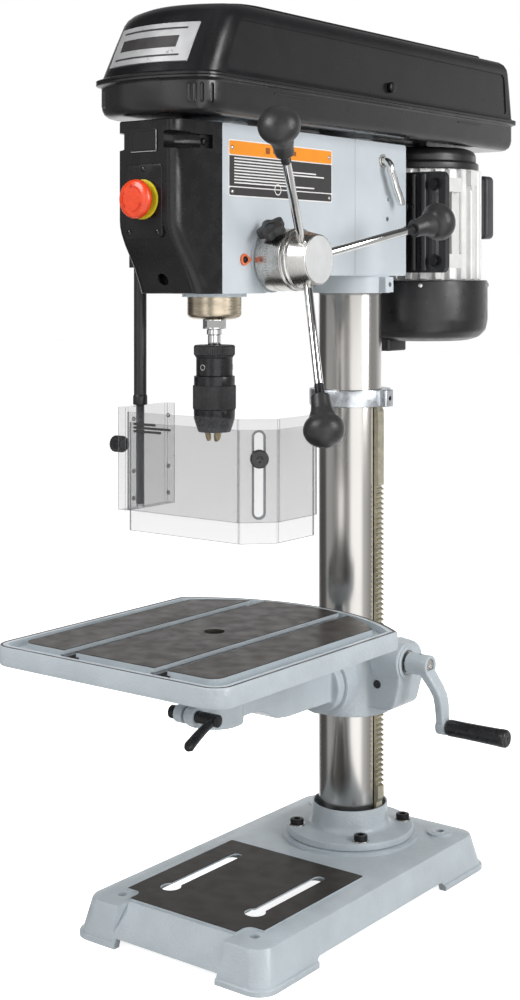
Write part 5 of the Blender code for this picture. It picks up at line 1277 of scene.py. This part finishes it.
def nose_card(x, z, low, high):
    """A thin plate that lies on the lid's sloping front."""
    facing = Vector((0, -0.88, 0.47))
    grid = []
    for i in range(4):
        row_z = z[0] + (z[1] - z[0]) * i / 3
        grid.append([Vector((u, lid_nose(u, row_z), row_z)) + facing * low
                     for u in [x[0] + (x[1] - x[0]) * j / 16 for j in range(17)]])
    return slab(grid, facing * (high - low))


def build_belt_cover():
    join_low, join_high = COVER_JOIN - GAP / 2, COVER_JOIN + GAP / 2
    pan = loft([cover_level(9, COVER_LOW), cover_level(6, COVER_LOW + 1), cover_level(2.4, COVER_LOW + 4.5),
                cover_level(0.8, COVER_LOW + 9), cover_level(0, COVER_LOW + 14),
                cover_level(0, join_low - 5.5),
                cover_level(-1.2, join_low - 4), cover_level(-3.6, join_low - 3.2),
                cover_level(-4.5, join_low - 2.4),
                cover_level(-4.5, join_low - 0.5), cover_level(-4.1, join_low)])
    skin = COVER_SKIN
    shaft_hole = [(x, MOTOR_Y - 8 + y) for x, y in arc((0, 0), 20, 180, 360, 24)]
    shaft_hole += [(x, MOTOR_Y + y) for x, y in arc((0, 0), 20, 0, 180, 24)]
    cuts = [loft([cover_level(7 + skin, COVER_LOW + skin), cover_level(1.5 + skin, COVER_LOW + 7 + skin),
                  cover_level(skin, join_low + 5)]),
            rod((0, SPINDLE_Y), 16.5, 900, 940, count=64), prism(shaft_hole, 900, 940)]
    flutes = []
    for side in (-1, 1):
        for k in range(4):
            x = side * (60.5 + 5.4 * k)
            rise = NOSE_BOW * NOSE_RISE * (x / (COVER_HALF * NOSE_SHARE)) ** 2
            y = COVER_NOSE + rise + max(0, k - 1) ** 2 * 2.3
            flutes.append(turned(soft([(0, COVER_LOW + 9), (2.3, COVER_LOW + 11), (2.3, join_low - 9),
                                       (0, join_low - 7)], 1.2), 24, "Z", (x, y - 0.5)))
    piece("pan_shell", shaped(pan, cuts=cuts + flutes), PAN_BLACK, "stand", "pulley_pan", slot="black_paint")

    lid = [cover_level(-4.1, join_high), cover_level(-4.5, join_high + 0.5),
           cover_level(-4.5, join_high + 2.4),
           cover_level(-3.6, join_high + 3.2), cover_level(-1.0, join_high + 3.9),
           cover_level(0, join_high + 5.5, 2.4),
           cover_level(2, 1002, 19), cover_level(3.6, 1026, 30), cover_level(4.6, 1032.5, 34),
           cover_level(7.5, 1038.3, 38.5), cover_level(12, 1042, 43), cover_level(18, 1043.6, 47),
           cover_level(22, 1044, 51)]
    hollow = loft([cover_level(skin, join_high - 5), cover_level(skin, join_high + 4.5, 2),
                   cover_level(2 + skin, 1002, 19), cover_level(4 + skin, 1029, 32.2),
                   cover_level(9 + skin, 1038.5, 41),
                   cover_level(15 + skin, 1041, 49)])
    raised = loft([[(x, y, z) for x, y in cover_outline(62 - i, COVER_NOSE + 84 + i, 231 - i)]
                   for i, z in ((0, 1042.5), (0.6, 1045.6), (1.4, 1046.6), (2.8, LID_TOP))])
    lid = shaped(loft(lid), [raised], [hollow])
    cuts = []
    for side in (-1, 1):
        window = rounded([(-352, 970, 4), (262, 970, 5), (262, 1024, 8), (-324, 1024, 18)], 8)
        inner = [(side * (79.4 - (z - 970) * 0.058), y, z) for y, z in window]
        outer = [(side * 95, y, z) for y, z in window]
        cuts.append(loft([inner, outer]))
    piece("lid_shell", shaped(lid, cuts=cuts), LID_BLACK, "lid", "pulley_lid", slot="black_paint")
    piece("name_plate", nose_card((-56, 54), (974, 1018), 0.2, 1.7), SILVER_PLATE, "lid")
    bars = [nose_card((-46, 44), (1010.5, 1012.5), 1.7, 1.9), nose_card((-42, 38), (990, 1003), 1.7, 1.9),
            nose_card((-46, 44), (980, 982), 1.7, 1.9)]
    piece("name_plate_bars", together(*bars), LABEL_DARK, "lid")
    knob = turned(soft([(0, 79.5), (6.5, 79.5), (6.5, 84), (4.5, 85.2), (0, 85.4)], 0.8), 40, "X",
                  (-31, 978.5))
    piece("lid_catch_screw", knob, BLACK_BOLT, "lid")
    hinges = []
    for y in (-210, 0, 190):
        hinges.append(turned(soft([(0, y - 26), (3.2, y - 26), (3.2, y + 26), (0, y + 26)], 0.6), 24, "Y",
                             (-COVER_HALF - 1.2, COVER_JOIN)))
    piece("lid_hinge_barrels", together(*hinges), BLACKENED, "stand")
    ribs = []
    for y0, y1 in ((-268, -205), (131, 190)):
        ribs.append(prism(rounded([(y0, 948, 1), (y1, 948, 1), (y1, 950.6, 1), (y0, 950.6, 1)]),
                          COVER_HALF - 0.5,
                          COVER_HALF + 0.8, "X"))
    piece("pan_side_ribs", together(*ribs), PAN_BLACK, "stand", bevel=0.5)


# ---------------------------------------------------------------- guard

POST_X, POST_Y, POST_R, PIN_R = -88.5, -299.0, 7.3, 4.6
SHIELD_FRONT, SHIELD_RIGHT, SHIELD_BACK = -330.0, 110.0, -228.0
SHIELD_LOW, SHIELD_HIGH, SLIDER_LOW, SLIDER_HIGH, SHEET = 484.0, 595.0, 460.5, 583.0, 3.0


def shield_wall(offset, thickness):
    """The guard's wall seen from above: the front, a bevelled corner and the right side."""
    front = SHIELD_FRONT + offset
    right = SHIELD_RIGHT - offset
    k = offset * 0.4
    t = thickness
    outer = [(-80.5, front, 0), (79.5 - k, front, 6), (right, front + 30.5 - k * 0.5, 6),
             (right, SHIELD_BACK, 0)]
    inner = [(right - t, SHIELD_BACK, 0), (right - t, front + 30.5 + t * 0.4, 3.5),
             (79.5 - k - t * 0.4, front + t, 3.5),
             (-80.5, front + t, 0)]
    return rounded(outer + inner, 5)


def rim_faces(obj, material):
    """Gives the sheet's cut edges, top and bottom and at its ends, the darker look that they have."""
    obj.data.materials.append(material)
    for face in obj.data.polygons:
        sideways = max(abs(face.normal.x), abs(face.normal.y))
        if abs(face.normal.z) > 0.7 or face.area < 0.0005 and sideways > 0.99:
            face.material_index = 1


def build_guard():
    post = [(0, 487), (PIN_R, 487), (PIN_R, 600.8), (8.3, 600.8), (8.3, 611), (POST_R, 612), (POST_R, 786),
            (0, 786)]
    bracket = rounded([(POST_X - 11, POST_Y - 11, 8), (-HEAD_HALF - GAP, POST_Y - 15, 0),
                       (-HEAD_HALF - GAP, POST_Y + 15, 0), (POST_X - 11, POST_Y + 11, 8)])
    post = shaped(turned(soft(post, 0.8), 56, "Z", (POST_X, POST_Y)), [prism(bracket, 758, 778)])
    piece("guard_rod", post, MOTOR_BLACK, "stand", "guard_post", slot="black_paint")
    screws = [pan_screw((POST_X + 22, POST_Y - 13.4, 768), (0, -1, 0), 3.4)]
    piece("guard_bracket_screw", together(*screws), STEEL, "stand")

    block = shaped(prism(plate((-96, -81), (-330, -245), 2.5)(0), 483, 600),
                   cuts=[rod((POST_X, POST_Y), PIN_R + GAP, 470, 620, count=40)])
    carrier = piece("guard_hinge_block", block, CLEAR, "guard_arm", "guard_carrier", bevel=0.5,
                    slot="clear_plastic")
    rim_faces(carrier, CLEAR_EDGE)
    wall = shaped(prism(shield_wall(0, SHEET), SHIELD_LOW, SHIELD_HIGH))
    normal = Vector((1, -1, 0)).normalized()
    along = Vector((1, 1, 0)).normalized()
    middle = Vector((94.75, -314.75, 0))
    slot = rounded([(-5, 490, 4.9), (5, 490, 4.9), (5, 581, 4.9), (-5, 581, 4.9)], 10)

    def across(outline, low, high):
        return loft([[middle + along * u + normal * depth + Vector((0, 0, z)) for u, z in outline]
                     for depth in (low, high)])

    shield = piece("guard_outer_sheet", shaped(wall, cuts=[across(slot, -3.3, 6)]), CLEAR, "guard_arm",
                   "guard_shield",
                   bevel=0.3, slot="clear_plastic")
    rim_faces(shield, CLEAR_EDGE)
    lip = shaped(across(rounded([(-7.6, 487.4, 7.5), (7.6, 487.4, 7.5), (7.6, 583.6, 7.5),
                                 (-7.6, 583.6, 7.5)], 10),
                        0.35, 1.5), cuts=[across(slot, -3, 6)])
    piece("guard_slot_rim", lip, CLEAR_EDGE, "guard_arm", bevel=0.3)
    slider = shaped(prism(shield_wall(SHEET + 0.6, SHEET), SLIDER_LOW, SLIDER_HIGH),
                    cuts=[aim(rod((0, 0), 2.9, -20, 20, count=32), middle + Vector((0, 0, 553)), normal)])
    slider = piece("guard_inner_sheet", slider, CLEAR, "guard_gate", "guard_slider", bevel=0.3,
                   slot="clear_plastic")
    rim_faces(slider, CLEAR_EDGE)
    foot = middle + Vector((0, 0, 553))
    head = shaped(turned(soft([(0, -9.5), (2.6, -9.5), (2.6, 1.7), (9, 1.7), (10, 3), (10, 8), (9, 9.4),
                               (3.4, 9.4),
                               (2.6, 8.6), (0, 8.4)], 0.5), 64))
    piece("guard_clamp_knob", aim(head, foot, normal), GRIP_BLACK, "guard_screw", "guard_knob",
          slot="black_plastic")
    nut = shaped(prism(circle((0, 0), 6.2, 6), -8.6, -7.0), cuts=[rod((0, 0), 2.7, -20, 20)])
    piece("guard_clamp_nut", aim(nut, foot, normal), BRASS, "guard_gate", bevel=0.3)
    grip = shaped(ribbed(9.5, 0.9, 18, -113, -98.5, "X", (-316, 556), 0.9),
                  [turned(soft([(0, -99), (7, -99), (7, -96 - GAP), (0, -96 - GAP)], 0.3), 40, "X",
                          (-316, 556))],
                  [rod((-316, 556), 2.5, -120, -111, "X", 24)])
    piece("hinge_clamp_knob", grip, GRIP_BLACK, "hinge_screw", "hinge_lock_knob", slot="black_plastic")
    screws = []
    for y in (-318, -258):
        for z in (496, 527, 586):
            screws.append(pan_screw((-80.9, y, z), (1, 0, 0), 2.6))
    piece("guard_block_screws", together(*screws), STEEL, "guard_arm")
    bars = [prism(plate((-71, right), (z, z + 2.6), 0.8)(0), SHIELD_FRONT - 0.25, SHIELD_FRONT - 0.02, "Y")
            for z, right in ((572.5, -30), (576.6, -16), (580.7, -38))]
    piece("guard_edge_bars", together(*bars), LABEL_DARK, "guard_arm")


# ---------------------------------------------------------------- the machine

for build in (build_base, build_column, build_rack, build_bracket, build_crank, build_table, build_arm,
              build_head,
              build_label, build_front_cover, build_quill, build_chuck, build_feed, build_motor,
              build_belt_cover,
              build_guard):
    build()

INSIDE = {"lift_pinion": BLACKENED, "crank_shaft": STEEL, "feed_shaft": STEEL, "spindle_pulley": DULL_ALLOY,
          "motor_pulley": DULL_ALLOY, "drive_belt": RUBBER}
for node_name, node in frame["nodes"].items():
    node.data.materials.clear()
    node.data.materials.append(INSIDE.get(node_name, STEEL))

# ---------------------------------------------------------------- floor, light and camera

scene = bpy.context.scene
FLOOR_SIZE, FLOOR_GLOW = 12.0, 0.86
LOW_SKY, HIGH_SKY = 0.14, 0.42
LOW_LIGHT, HIGH_LIGHT = 2.0, 0.3
CAMERA_PLACE, CAMERA_AZIMUTH = (1114.7, -1650.7, 746.4), 37.147
LENS, SENSOR_WIDTH = 56.53, 36.0
SHIFT_RIGHT, SHIFT_UP = -0.00455, -0.2222
FLOOR = finish("floor", (0.74, 0.74, 0.735), 0.6, spread=0.006, patch=600, bump=0.02, bump_size=5.0)
floor_mesh = bmesh.new()
bmesh.ops.create_grid(floor_mesh, x_segments=1, y_segments=1, size=FLOOR_SIZE)
floor = as_object(floor_mesh, "floor")
floor.data.materials.append(FLOOR)
FLOOR.node_tree.nodes["Principled BSDF"].inputs["Emission Color"].default_value = (1.0, 1.0, 1.0, 1.0)
seen = FLOOR.node_tree.nodes.new("ShaderNodeLightPath")
glow = FLOOR.node_tree.nodes.new("ShaderNodeMath")
glow.operation = "MULTIPLY"
glow.inputs[1].default_value = FLOOR_GLOW
FLOOR.node_tree.links.new(seen.outputs["Is Camera Ray"], glow.inputs[0])
FLOOR.node_tree.links.new(glow.outputs["Value"],
                          FLOOR.node_tree.nodes["Principled BSDF"].inputs["Emission Strength"])
floor.visible_glossy = False

world = bpy.data.worlds.new("studio")
world.use_nodes = True
# Soft panels stand round the machine as bright and dark sectors of the studio; a sector is (degrees, light).
SECTORS = [(-180, 0.06), (-158, 0.06), (-148, 0.30), (-134, 0.28), (-116, 0.22), (-104, 0.30), (-94, 0.75),
           (-84, 0.75), (-74, 0.25), (-62, 0.28), (-50, 0.95), (-18, 0.95), (-4, 0.40), (26, 0.22),
           (50, 0.25),
           (72, 0.45), (96, 0.62), (150, 0.62), (160, 0.08), (178, 0.06)]
coords = world.node_tree.nodes.new("ShaderNodeTexCoord")
split = world.node_tree.nodes.new("ShaderNodeSeparateXYZ")
angle = world.node_tree.nodes.new("ShaderNodeMath")
angle.operation = "ARCTAN2"
share = world.node_tree.nodes.new("ShaderNodeMapRange")
share.inputs["From Min"].default_value = -math.pi
share.inputs["From Max"].default_value = math.pi
ramp = world.node_tree.nodes.new("ShaderNodeValToRGB")
ramp.color_ramp.interpolation = "EASE"
ramp.color_ramp.elements.remove(ramp.color_ramp.elements[1])
for degrees, light in SECTORS:
    stop = ramp.color_ramp.elements.new((degrees + 180.5) / 361)
    stop.color = (light, light, light, 1.0)
links = world.node_tree.links
links.new(coords.outputs["Generated"], split.inputs["Vector"])
links.new(split.outputs["Y"], angle.inputs[0])
links.new(split.outputs["X"], angle.inputs[1])
links.new(angle.outputs["Value"], share.inputs["Value"])
links.new(share.outputs["Result"], ramp.inputs["Fac"])
links.new(ramp.outputs["Color"], world.node_tree.nodes["Background"].inputs["Color"])
height = world.node_tree.nodes.new("ShaderNodeMapRange")
height.inputs["From Min"].default_value = LOW_SKY
height.inputs["From Max"].default_value = HIGH_SKY
height.inputs["To Min"].default_value = LOW_LIGHT
height.inputs["To Max"].default_value = HIGH_LIGHT
links.new(split.outputs["Z"], height.inputs["Value"])
links.new(height.outputs["Result"], world.node_tree.nodes["Background"].inputs["Strength"])
# The sectors light and reflect; what is seen behind the machine is plain white.
backdrop = world.node_tree.nodes.new("ShaderNodeBackground")
backdrop.inputs["Color"].default_value = (1.0, 1.0, 1.0, 1.0)
choice = world.node_tree.nodes.new("ShaderNodeMixShader")
ray = world.node_tree.nodes.new("ShaderNodeLightPath")
links.new(ray.outputs["Is Camera Ray"], choice.inputs["Fac"])
links.new(world.node_tree.nodes["Background"].outputs["Background"], choice.inputs[1])
links.new(backdrop.outputs["Background"], choice.inputs[2])
links.new(choice.outputs["Shader"], world.node_tree.nodes["World Output"].inputs["Surface"])
scene.world = world


def softbox(name, place, aimed_at, width, height, power, mirrored=True):
    light = bpy.data.lights.new(name, "AREA")
    light.shape = "RECTANGLE"
    light.size, light.size_y = width, height
    light.energy = power
    lamp = bpy.data.objects.new(name, light)
    lamp.location = place
    lamp.visible_glossy = mirrored
    lamp.rotation_euler = (Vector(aimed_at) - Vector(place)).to_track_quat("-Z", "Y").to_euler()
    scene.collection.objects.link(lamp)


MIDDLE = (0, 0, 0.55)
softbox("key", (-0.9, -2.6, 2.4), MIDDLE, 1.6, 1.6, 62)
softbox("right", (2.9, 0.2, 1.7), MIDDLE, 1.0, 2.0, 60)
softbox("overhead", (0.2, 0.1, 3.2), MIDDLE, 2.0, 2.0, 55, mirrored=False)

camera_data = bpy.data.cameras.new("camera")
camera_data.lens = LENS
camera_data.sensor_width = SENSOR_WIDTH
camera_data.shift_x = SHIFT_RIGHT
camera_data.shift_y = SHIFT_UP
camera_data.clip_start, camera_data.clip_end = 0.05, 50
camera = bpy.data.objects.new("camera", camera_data)
camera.location = Vector(CAMERA_PLACE) * MM + COLUMN_AXIS
camera.rotation_euler = (math.radians(90), 0, math.radians(CAMERA_AZIMUTH))
scene.collection.objects.link(camera)
scene.camera = camera
scene.view_settings.view_transform = "Standard"
